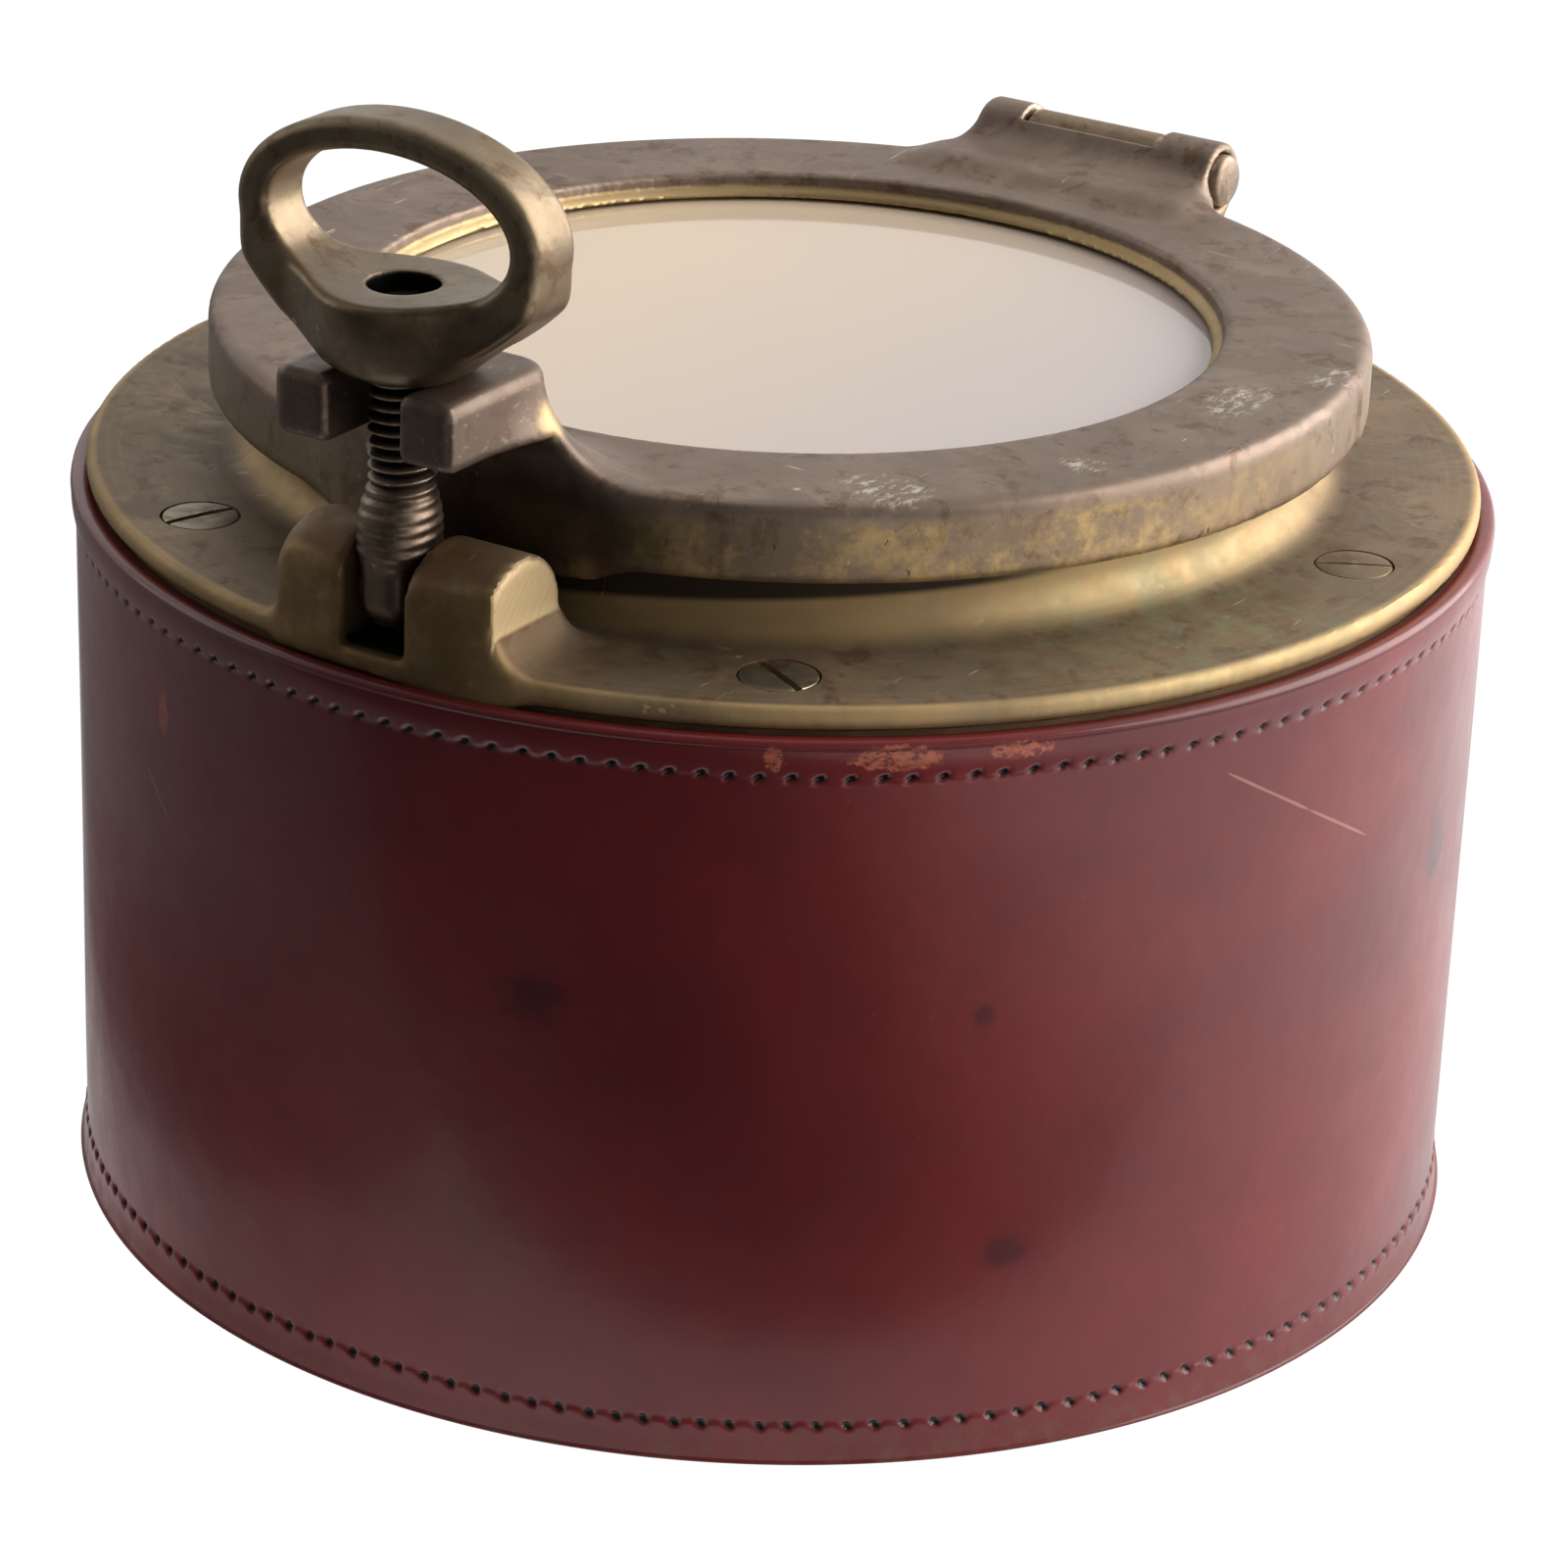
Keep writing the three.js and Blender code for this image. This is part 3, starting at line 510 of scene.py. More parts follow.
# ---------------------------------------------------------------- materials
class Look:
    """A small builder for one procedural material. Patterns are read in millimetres."""

    def __init__(self, name, **surface):
        self.material = bpy.data.materials.new(name)
        self.material.use_nodes = True
        self.tree = self.material.node_tree
        self.tree.nodes.clear()
        self.out = self.tree.nodes.new("ShaderNodeOutputMaterial")
        self.surface = self.tree.nodes.new("ShaderNodeBsdfPrincipled")
        self.link(self.surface.outputs[0], self.out.inputs[0])
        self.set(**surface)
        coordinates = self.tree.nodes.new("ShaderNodeTexCoord").outputs["Object"]
        self.place = self.vector("SCALE", coordinates, scale=1 / MM)

    def link(self, source, target):
        self.tree.links.new(source, target)

    def feed(self, value, socket):
        if isinstance(value, bpy.types.NodeSocket):
            self.link(value, socket)
        elif value is not None:
            socket.default_value = value

    def set(self, **values):
        """Sets sockets of the surface by name, with _ for a space."""
        for name, value in values.items():
            socket = self.surface.inputs[name.replace("_", " ")]
            if not isinstance(value, bpy.types.NodeSocket) and socket.type == "RGBA":
                value = (*value, 1)
            self.feed(value, socket)

    def vector(self, operation, a, b=None, scale=None):
        node = self.tree.nodes.new("ShaderNodeVectorMath")
        node.operation = operation
        self.feed(a, node.inputs[0])
        self.feed(b, node.inputs[1])
        if scale is not None:
            self.feed(scale, node.inputs["Scale"])
        return node.outputs["Value" if operation in ("LENGTH", "DOT_PRODUCT", "DISTANCE") else "Vector"]

    def math(self, operation, a, b=None, c=None, clamp=False):
        node = self.tree.nodes.new("ShaderNodeMath")
        node.operation, node.use_clamp = operation, clamp
        for value, socket in zip((a, b, c), node.inputs):
            self.feed(value, socket)
        return node.outputs[0]

    def noise(self, size, detail=4.0, roughness=0.55, distortion=0.0, place=None, stretch=None):
        """Noise from 0 to 1 with features about size millimetres across."""
        place = place or self.place
        if stretch:
            place = self.vector("MULTIPLY", place, stretch)
        node = self.tree.nodes.new("ShaderNodeTexNoise")
        self.link(place, node.inputs["Vector"])
        node.inputs["Scale"].default_value = 1 / size
        node.inputs["Detail"].default_value = detail
        node.inputs["Roughness"].default_value = roughness
        node.inputs["Distortion"].default_value = distortion
        return node.outputs["Fac"]

    def cells(self, size):
        """Distance from the nearest of random points about size millimetres apart."""
        node = self.tree.nodes.new("ShaderNodeTexVoronoi")
        self.link(self.place, node.inputs["Vector"])
        node.inputs["Scale"].default_value = 1 / size
        return node.outputs["Distance"]

    def between(self, value, low, high, to=(0.0, 1.0)):
        """A smooth step of value from low to high."""
        node = self.tree.nodes.new("ShaderNodeMapRange")
        node.interpolation_type = "SMOOTHSTEP"
        self.feed(value, node.inputs["Value"])
        for name, number in zip(("From Min", "From Max", "To Min", "To Max"), (low, high, *to)):
            node.inputs[name].default_value = number
        return node.outputs["Result"]

    def mix(self, factor, a, b):
        """Colour a where factor is 0 and b where it is 1."""
        node = self.tree.nodes.new("ShaderNodeMix")
        node.data_type = "RGBA"
        self.feed(factor, node.inputs["Factor"])
        for value, socket in ((a, node.inputs[6]), (b, node.inputs[7])):
            self.feed(value if isinstance(value, bpy.types.NodeSocket) else (*value, 1), socket)
        return node.outputs[2]

    def patch(self, centre, radii, ragged=0.0, size=2.0, edge=0.35):
        """1 inside an ellipsoid with a ragged edge, 0 outside."""
        place = self.vector("SUBTRACT", self.place, centre)
        place = self.vector("DIVIDE", place, radii)
        length = self.vector("LENGTH", place)
        if ragged:
            length = self.math("MULTIPLY_ADD", self.math("SUBTRACT", self.noise(size), 0.5), ragged, length)
        return self.between(length, 1 - edge, 1 + edge, (1.0, 0.0))

    def scratch(self, start, end, width):
        """1 along a thin straight line between two points."""
        start, along = Vector(start), Vector(end) - Vector(start)
        place = self.vector("SUBTRACT", self.place, start)
        share = self.vector("DOT_PRODUCT", place, along)
        share = self.math("DIVIDE", share, along.length_squared, clamp=True)
        nearest = self.vector("SCALE", tuple(along), scale=share)
        away = self.vector("LENGTH", self.vector("SUBTRACT", place, nearest))
        return self.between(away, width * 0.4, width, (1.0, 0.0))

    def times(self, *values):
        """The product of all the values."""
        return reduce(lambda a, b: self.math("MULTIPLY", a, b), values)

    def most(self, *values):
        """The largest of the values."""
        return reduce(lambda a, b: self.math("MAXIMUM", a, b), values)

    def parts(self):
        """The place's x, y and z in millimetres."""
        node = self.tree.nodes.new("ShaderNodeSeparateXYZ")
        self.link(self.place, node.inputs[0])
        return node.outputs

    def from_axis(self):
        """Distance from the drum's axis."""
        return self.vector("LENGTH", self.vector("MULTIPLY", self.place, (1, 1, 0)))

    def stripes(self, value, size, detail, roughness):
        """Noise that changes only with value, as lines."""
        node = self.tree.nodes.new("ShaderNodeCombineXYZ")
        self.link(value, node.inputs[0])
        return self.noise(size, detail, roughness, place=node.outputs[0])

    def attribute(self, name):
        node = self.tree.nodes.new("ShaderNodeAttribute")
        node.attribute_name = name
        return node.outputs["Fac"]

    def edges(self, low, high):
        """1 on convex edges, from the mesh's pointiness."""
        node = self.tree.nodes.new("ShaderNodeNewGeometry")
        return self.between(node.outputs["Pointiness"], low, high)

    def bump(self, height, distance, strength=1.0):
        node = self.tree.nodes.new("ShaderNodeBump")
        node.inputs["Strength"].default_value = strength
        node.inputs["Distance"].default_value = distance * MM
        self.link(height, node.inputs["Height"])
        previous = self.surface.inputs["Normal"]
        if previous.is_linked:
            self.link(previous.links[0].from_socket, node.inputs["Normal"])
        self.link(node.outputs[0], previous)


def around(radius, azimuth, z):
    """A point on the drum's side at an angle anticlockwise from the latch, seen from above."""
    a = math.radians(azimuth - 90)
    return (radius * math.cos(a), radius * math.sin(a), z)


def leather_look():
    look = Look("burgundy_leather", IOR=1.45, Coat_Roughness=0.16, Coat_IOR=1.5)
    broad = look.between(look.noise(38, 3), 0.3, 0.7)
    mottle = look.between(look.noise(9, 6, 0.65), 0.3, 0.72)
    colour = look.mix(broad, (0.11, 0.0095, 0.0115), (0.175, 0.0145, 0.0165))
    colour = look.mix(look.times(mottle, 0.22), colour, (0.07, 0.006, 0.009))
    specks = look.between(look.cells(5.5), 0.05, 0.02)
    colour = look.mix(look.times(specks, 0.2), colour, (0.3, 0.09, 0.07))
    z = look.parts()[2]
    low, high = LEATHER_LOW, LEATHER_HIGH
    # dark bruises and fine scratches
    bruises = (
        (14.5, 57, (3.6, 4, 2.6), 1.5, 2.2, 0.6), (48.5, 57, (1.1, 1.4, 1.3), 0.8, 1, 0.5),
        (51, 26.5, (2.4, 2.6, 1.9), 1.2, 1.6, 0.5), (99, 58, (2, 3, 4), 1.4, 2.5, 0.6),
        (190, 40, (5, 3, 4), 1.4, 3, 0.6), (265, 62, (3, 4, 3), 1.4, 3, 0.6),
    )
    bruise = look.most(*(look.patch(around(87, *row[:2]), *row[2:]) for row in bruises))
    colour = look.mix(look.times(bruise, 0.55), colour, (0.02, 0.006, 0.008))
    scratches = (
        (87.3, (68, 82), (77, 74), 0.26), (87.3, (77, 74), (85, 67), 0.26),
        (87.5, (-28, 71), (-20, 60), 0.25), (87.5, (170, 70), (181, 64), 0.3),
        (87.5, (236, 30), (246, 38), 0.3),
    )
    lines = look.most(*(look.scratch(around(r, *a), around(r, *b), width) for r, a, b, width in scratches))
    colour = look.mix(look.times(lines, 0.5), colour, (0.45, 0.2, 0.17))
    # scuffs that show the tan hide
    ragged = look.noise(1.3, 6, 0.75, stretch=(1.0, 1.0, 2.2))
    band = look.times(look.between(z, high - 4.2, high - 3.1), look.between(z, high - 0.5, high - 1.2))
    scuffs = (
        (41, high - 1.9, (5.6, 4.8, 1.5), 1.3, 1.8, 0.14), (32, high - 2.2, (1.0, 1.0, 1.5), 1.1, 1.3, 0.2),
        (50, high - 1.7, (3.4, 3.4, 1.0), 1.7, 1.2, 0.15), (205, high - 1.9, (5, 3, 1.4), 1.7, 1.6, 0.2),
    )
    scuff = look.most(*(look.patch(around(LEATHER_R, *row[:2]), *row[2:]) for row in scuffs))
    rub = look.times(look.between(ragged, 0.66, 0.72), band)
    scuff = look.most(look.times(scuff, look.between(ragged, 0.42, 0.5)), look.times(rub, 0.8))
    colour = look.mix(scuff, colour, look.mix(look.noise(0.8), (0.55, 0.17, 0.085), (0.3, 0.05, 0.03)))
    red = look.patch(around(87.5, -23, 76), (1.0, 1.2, 3.0), 1.1, 1.2, 0.4)
    colour = look.mix(look.times(red, 0.7), colour, (0.33, 0.045, 0.025))
    # worn foot
    foot = look.between(look.noise(3, 5, 0.7), 0.42, 0.68)
    foot = look.times(look.between(z, low + 5.2, low + 0.6), foot)
    colour = look.mix(look.times(foot, 0.7), colour, (0.13, 0.05, 0.035))
    # painted shade in the needle holes
    hole = look.attribute("needle_hole_shade")
    colour = look.mix(look.between(hole, 0.12, 0.45), colour, (0.008, 0.003, 0.003))
    look.set(Base_Color=colour)
    roughness = look.math("MULTIPLY_ADD", mottle, 0.08, 0.36)
    roughness = look.math("ADD", roughness, look.times(look.most(scuff, foot), 0.25))
    look.set(Roughness=roughness)
    dull = look.patch(around(88, -32, 18), (52, 52, 34), 0.3, 20, 0.5)
    gloss = look.math("MULTIPLY_ADD", dull, -0.68, 1.0)
    look.set(Coat_Weight=look.times(gloss, 0.38), Specular_IOR_Level=look.times(gloss, 0.35))
    grain = look.math("ADD", look.times(look.cells(0.9), 0.5), look.times(look.noise(0.5, 3), 0.6))
    look.bump(look.noise(14, 3), 0.35, 0.8)
    look.bump(grain, 0.02, 0.7)
    look.bump(look.math("SUBTRACT", 1.0, look.most(scuff, red)), 0.12, 0.6)
    return look.material


# pointiness of a mesh: about 0.5 where it is flat, more on outer edges and less in inner corners
WORN_EDGE, HOLLOW_EDGE = (0.53, 0.58), (0.495, 0.46)
# near-black for painted shade, under the lid and in the slot between the lugs
PAINTED_SHADE = (0.008, 0.006, 0.004)


def brass_look(name, dark, mid, bright, patina, patina_share=0.5, rough=(0.3, 0.5), metallic=0.95,
               scratch_scale=1.0, turned=0.0, extra=None):
    """Aged cast brass: mottled metal, patches of patina, pale scratches and bright worn edges."""
    look = Look(name, Metallic=metallic, IOR=1.5)
    broad = look.between(look.noise(22, 4, 0.6), 0.32, 0.68)
    fine = look.between(look.noise(3.2, 6, 0.68), 0.3, 0.7)
    colour = look.mix(broad, dark, mid)
    colour = look.mix(look.times(fine, 0.45), colour, mid)
    stain = look.between(look.noise(11, 7, 0.7, 0.6), 0.62 - patina_share * 0.3, 0.72 - patina_share * 0.2)
    colour = look.mix(look.times(stain, 0.75), colour, patina)
    if turned:
        lines = look.stripes(look.from_axis(), 0.9, 4, 0.7)
        colour = look.mix(look.times(look.between(lines, 0.45, 0.8), turned), colour, bright)
    pits = look.between(look.noise(0.8, 3, 0.6), 0.68, 0.78)
    colour = look.mix(look.times(pits, 0.5), colour, tuple(v * 0.35 for v in dark))
    scratch = look.between(look.noise(1.6, 2, 0.4, stretch=(0.12, 1.6, 1.0)), 0.71, 0.76)
    other = look.between(look.noise(1.3, 2, 0.4, stretch=(1.5, 0.15, 1.0)), 0.72, 0.77)
    spots = look.between(look.cells(7.5), 0.085, 0.03)
    gate = look.between(look.noise(17, 3), 0.48, 0.6)
    marks = look.times(look.most(scratch, other, spots), look.times(gate, scratch_scale))
    colour = look.mix(look.times(marks, 0.75), colour, tuple(min(1, v * 1.1 + 0.08) for v in bright))
    hollow = look.times(look.edges(*HOLLOW_EDGE), look.between(look.noise(4, 4), 0.3, 0.6))
    colour = look.mix(look.times(hollow, 0.7), colour, tuple(v * 0.2 for v in dark))
    elsewhere = look.vector("ADD", look.place, (31, 7, 19))
    rust = look.between(look.noise(4.5, 6, 0.7, 0.4, place=elsewhere), 0.53, 0.64)
    colour = look.mix(look.times(rust, 0.6), colour, (0.11, 0.055, 0.028))
    worn = look.times(look.edges(*WORN_EDGE), look.between(look.noise(5, 5, 0.7), 0.3, 0.55))
    worn = look.times(worn, 0.9)
    colour = look.mix(worn, colour, bright)
    roughness = look.math("MULTIPLY_ADD", look.most(fine, stain), rough[1] - rough[0], rough[0])
    roughness = look.math("SUBTRACT", roughness, look.times(worn, 0.1))
    if extra:
        colour, roughness = extra(look, colour, roughness)
    look.set(Base_Color=colour, Roughness=roughness)
    look.bump(look.noise(6, 4), 0.10, 0.7)
    look.bump(look.noise(0.6, 5, 0.7), 0.02, 0.8)
    look.bump(look.math("SUBTRACT", 1.0, look.most(marks, pits)), 0.03, 0.7)
    return look.material


def flange_extra(look, colour, roughness):
    """Gold on the rim and the neck's fillet, part wear and part painted highlight, gold on the filed lug, a
    green bloom, and painted shade under the lid and in the slot between the lugs.
    """
    x, y, z = look.parts()
    flat = look.from_axis()
    rim = look.between(flat, 84.1, 85.0)
    fold = look.times(look.between(flat, 69.5, 66.5), look.between(z, FLANGE_TOP - 1, FLANGE_TOP + 1.5))
    side = look.between(look.noise(24, 2), 0.25, 0.55)
    # gold on the rim is wear with a painted highlight; at the foot of the neck's fillet it is a painted
    # highlight
    gold_wear_and_highlight = look.times(look.most(rim, fold), look.math("MULTIPLY_ADD", side, 0.5, 0.3))
    colour = look.mix(gold_wear_and_highlight, colour, (0.48, 0.33, 0.15))
    green = look.patch((66, -24, FLANGE_TOP), (20, 22, 6), 1.5, 12, 0.9)
    green = look.times(green, look.between(look.noise(4, 6, 0.7), 0.35, 0.65))
    colour = look.mix(look.times(green, 0.5), colour, (0.25, 0.28, 0.16))
    lugs = look.patch((0.8, -82, 98), (19, 9, 13), 0.6, 8, 0.4)
    lugs = look.times(lugs, look.between(look.noise(5, 5, 0.7), 0.2, 0.55, (0.25, 0.8)))
    colour = look.mix(lugs, colour, (0.13, 0.068, 0.024))
    filed = look.times(
        look.between(x, LUG_RIGHT - 0.25, LUG_RIGHT - 0.05),
        look.between(x, LUG_RIGHT + 0.25, LUG_RIGHT + 0.1),
        look.between(z, FLANGE_TOP + 2.2, FLANGE_TOP + 3.4),
    )
    diagonal = look.vector("DOT_PRODUCT", look.place, (0, 0.72, -0.69))
    lines = look.stripes(diagonal, 0.42, 3, 0.8)
    colour = look.mix(filed, colour, look.mix(lines, (0.3, 0.22, 0.11), (0.72, 0.55, 0.31)))
    look.bump(look.times(lines, filed), 0.12, 0.8)
    beside = look.math("ABSOLUTE", x)
    # painted shade on the front of the neck, under the lid's overhang
    shade_under_lid = look.between(look.math("MULTIPLY_ADD", beside, -0.065, z), 95.9, 96.9)
    shade_under_lid = look.times(shade_under_lid, look.between(flat, 70.5, 69.5), look.between(y, -24, -40))
    colour = look.mix(look.times(shade_under_lid, 0.93), colour, PAINTED_SHADE)
    # painted shade in the slot between the lugs, rougher there
    slot = look.times(
        look.between(beside, SLOT_HALF + 0.1, SLOT_HALF - 0.2), look.between(y, -68, -70),
        look.between(y, -84.6, -83.9), look.between(z, 106, 102),
    )
    colour = look.mix(slot, colour, PAINTED_SHADE)
    return colour, look.math("MULTIPLY_ADD", slot, 0.35, roughness)


def lid_extra(look, colour, roughness):
    """Brass on the outer rim, the bore's lip and in the fork, a dull dark fork, painted shade on the lid's
    side under the fork, scrapes and cracks.
    """
    _, y, z = look.parts()
    flat = look.from_axis()
    lip = look.times(look.between(flat, LID_BORE + 0.15, LID_BORE - 0.2), look.between(z, 111.2, 110.7))
    colour = look.mix(look.times(lip, 0.8), colour, (0.5, 0.36, 0.17))
    rim = look.times(look.between(flat, LID_R - 2.5, LID_R - 0.4), look.between(z, 111.2, 109))
    front = look.patch((52, -52, 106), (50, 45, 14), 0.8, 14, 0.6)
    wear = look.between(look.noise(8, 6, 0.72), 0.4, 0.62)
    amount = look.times(rim, look.math("MULTIPLY_ADD", look.times(front, wear), 0.75, 0.12))
    colour = look.mix(amount, colour, (0.52, 0.36, 0.15))
    bare = look.patch((-4.4, -72.5, 109), (2.4, 3.2, 6), 0.7, 1.6, 0.4)
    colour = look.mix(look.times(bare, 0.85), colour, (0.5, 0.27, 0.1))
    scraped = (
        (66, 42, (5, 4, 1), 2), (61, 92, (3, 6, 1), 2), (68, 104, (2, 4, 1), 1.5), (64, 64, (3, 2, 1), 1.5),
    )
    scrapes = look.most(*(look.patch(around(r, azimuth, LID_TOP), radii, 1.0, size, 0.4)
                          for r, azimuth, radii, size in scraped))
    scrapes = look.times(scrapes, look.between(look.noise(0.9, 5, 0.75, stretch=(1.0, 0.4, 1.0)), 0.5, 0.6))
    colour = look.mix(look.times(scrapes, 0.8), colour, (0.6, 0.54, 0.46))
    # painted shade on the lid's side under the fork
    below = look.patch((9, -69, 107), (19, 5, 8), 0.8, 6, 0.5)
    colour = look.mix(look.times(below, 0.85), colour, (0.03, 0.018, 0.011))
    fork = look.times(look.between(z, 115, 116.5), look.between(y, -64, -68))
    colour = look.mix(look.times(fork, 0.55), colour, (0.085, 0.06, 0.047))
    specks = look.between(look.noise(1.0, 5, 0.8, stretch=(1.0, 0.5, 1.0)), 0.59, 0.66)
    colour = look.mix(look.times(look.times(fork, specks), 0.5), colour, (0.36, 0.29, 0.24))
    corner = look.patch((12.4, -69.5, 119.5), (2.4, 2.4, 2.2), 0.9, 1.6, 0.5)
    colour = look.mix(look.times(corner, 0.7), colour, (0.55, 0.4, 0.2))
    cracks = look.between(look.noise(1.5, 4, 0.6, stretch=(1.0, 1.0, 0.4)), 0.665, 0.70)
    cracks = look.times(cracks, look.between(look.noise(12), 0.45, 0.55), look.between(z, 111, 109))
    colour = look.mix(look.times(cracks, 0.75), colour, (0.05, 0.03, 0.02))
    return colour, roughness


def latch_axis(look):
    """Distance from the swing bolt's axis."""
    place = look.vector("SUBTRACT", look.place, (0, LATCH.y, 0))
    return look.vector("LENGTH", look.vector("MULTIPLY", place, (1, 1, 0)))


def nut_extra(look, colour, roughness):
    """Painted shade in the threaded hole and a darker hub."""
    z = look.parts()[2]
    away = latch_axis(look)
    hub = look.times(look.between(z, 137.5, 133), look.between(look.noise(6, 5, 0.6), 0.25, 0.6))
    colour = look.mix(look.times(hub, 0.45), colour, (0.09, 0.055, 0.03))
    # painted shade: near-black inside the hole, below the saddle's top
    hole = look.times(look.between(away, 4.35, 4.1), look.between(z, 145, 143))
    return look.mix(hole, colour, (0.006, 0.005, 0.004)), roughness


def bolt_extra(look, colour, roughness):
    """Black grease in the thread's grooves, and painted shade on the bolt's end, down in the nut's hole."""
    z = look.parts()[2]
    groove = look.between(latch_axis(look), BOLT_R - 0.2, BOLT_R - 0.75)
    groove = look.times(groove, look.between(z, 106, 109))
    # painted shade on the bolt's end inside the nut, together with grease in the grooves
    grease_and_shade = look.most(groove, look.between(z, 131, 132.5))
    return look.mix(grease_and_shade, colour, (0.008, 0.006, 0.005)), look.math("MULTIPLY_ADD", grease_and_shade, 0.3, roughness)


def plain_metal(name, colour, darker, roughness, metallic=1.0):
    look = Look(name, Metallic=metallic)
    fine = look.noise(2.2, 5, 0.65)
    look.set(Base_Color=look.mix(look.between(fine, 0.35, 0.7), colour, darker))
    look.set(Roughness=look.math("MULTIPLY_ADD", fine, 0.2, roughness))
    look.bump(look.noise(0.5, 4), 0.01, 0.6)
    return look.material


def soft_look(name, colour, other, roughness, size):
    look = Look(name)
    fine = look.noise(size, 5, 0.7)
    look.set(Base_Color=look.mix(fine, colour, other), Roughness=roughness)
    look.bump(fine, 0.15, 0.7)
    return look.material


def glass_look():
    """Old plate glass: clear when looked through squarely; at a slant it shows a painted reflection, pale
    cream on the left and mauve on the right, mottled at random.
    """
    look = Look("old_glass", Roughness=0.06, IOR=1.52, Specular_IOR_Level=0.6)
    # painted reflection: cream on the left, mauve on the right
    painted_reflection_gradient = look.between(look.parts()[0], -50, 55)
    reflection_mottle = look.between(look.noise(30, 3), 0.3, 0.7)
    colour = look.mix(painted_reflection_gradient, (0.70, 0.55, 0.38), (0.5, 0.43, 0.42))
    colour = look.mix(look.times(reflection_mottle, 0.25), colour, (0.56, 0.48, 0.41))
    facing = look.tree.nodes.new("ShaderNodeLayerWeight")
    facing.inputs["Blend"].default_value = 0.5
    # the glass turns opaque at a slant, so its colour shows there as a painted reflection
    look.set(Base_Color=colour, Alpha=look.between(facing.outputs["Facing"], 0.2, 0.52, (0.12, 0.97)))
    return look.material


def dial_look():
    """An off-white dial with a minute track printed in black."""
    look = Look("dial_face", Roughness=0.45)
    paper = look.mix(look.noise(16, 4), (0.70, 0.66, 0.57), (0.78, 0.75, 0.67))
    x, y, _ = look.parts()
    flat = look.from_axis()
    turn = look.math("ARCTAN2", x, y)

    def ring_line(radius, width):
        return look.between(look.math("ABSOLUTE", look.math("SUBTRACT", flat, radius)), width, width * 0.5)

    def ticks(count, inner, outer, width):
        phase = look.times(turn, count / TAU)
        near = look.math("ABSOLUTE", look.math("SUBTRACT", phase, look.math("ROUND", phase)))
        across = look.times(near, look.times(flat, TAU / count))
        mark = look.between(across, width, width * 0.6)
        zone = look.times(look.math("GREATER_THAN", flat, inner), look.math("LESS_THAN", flat, outer))
        return look.times(mark, zone)

    ink = look.most(
        ring_line(49.5, 0.22), ring_line(46.6, 0.18), ticks(60, 46.6, 49.5, 0.16), ticks(12, 46.0, 49.9, 0.55)
    )
    look.set(Base_Color=look.mix(ink, paper, (0.015, 0.013, 0.012)))
    return look.material


# ---------------------------------------------------------------- the pieces
def hour_numerals(material):
    """Roman hour numerals, printed as thin raised ink."""
    names = ("XII", "I", "II", "III", "IIII", "V", "VI", "VII", "VIII", "IX", "X", "XI")
    top = span("dial", 2)[1]
    for hour, text in enumerate(names):
        curve = bpy.data.curves.new(f"numeral_{hour}", "FONT")
        curve.body, curve.align_x, curve.align_y = text, "CENTER", "CENTER"
        curve.size, curve.extrude = 8.5 * MM, 0.02 * MM
        obj = bpy.data.objects.new(f"numeral_{hour}", curve)
        angle = -hour * TAU / 12
        radius = 39.5
        place = Vector((-radius * math.sin(angle), radius * math.cos(angle), top + 0.04)) * MM
        obj.matrix_world = Matrix.Translation(place) @ Matrix.Rotation(angle, 4, "Z")
        bpy.context.scene.collection.objects.link(obj)
        obj.data.materials.append(material)
        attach(obj, "case")


def make_glass():
    low, high = span("glass", 2)
    r = GLASS_R - 0.05
    return lathe("glass_pane", [(0, low), (r - 0.6, low), (r, low + 0.4), (r, high - 0.6), (r - 0.5, high),
                                (r - 3, high), (30, high), (0, high)], 256)


def make_pin(material):
    """The hinge pin: its domed ends stand in the outer knuckles."""
    left, shank, end = -KNUCKLE_HALF + 2.6, KNUCKLE_HALF - 1.2, KNUCKLE_HALF + 0.8
    body = lathe("hinge_pin_turned", [(0, left), (2.9, left), (3.1, left + 0.2), (3.1, shank), (3.4, shank),
                                      (3.4, end - 0.8), (3.25, end - 0.35), (2.7, end - 0.02), (0, end)],
                 64, (HINGE.y, HINGE.z), axis="x")
    put(sharpen(body, 50), "lid", material, "hinge_pin", slot="aged_bronze_lid")


def dress_cad(material, *nodes):
    for node in nodes:
        obj = frame["nodes"][node]
        obj.data.materials.clear()
        obj.data.materials.append(material)


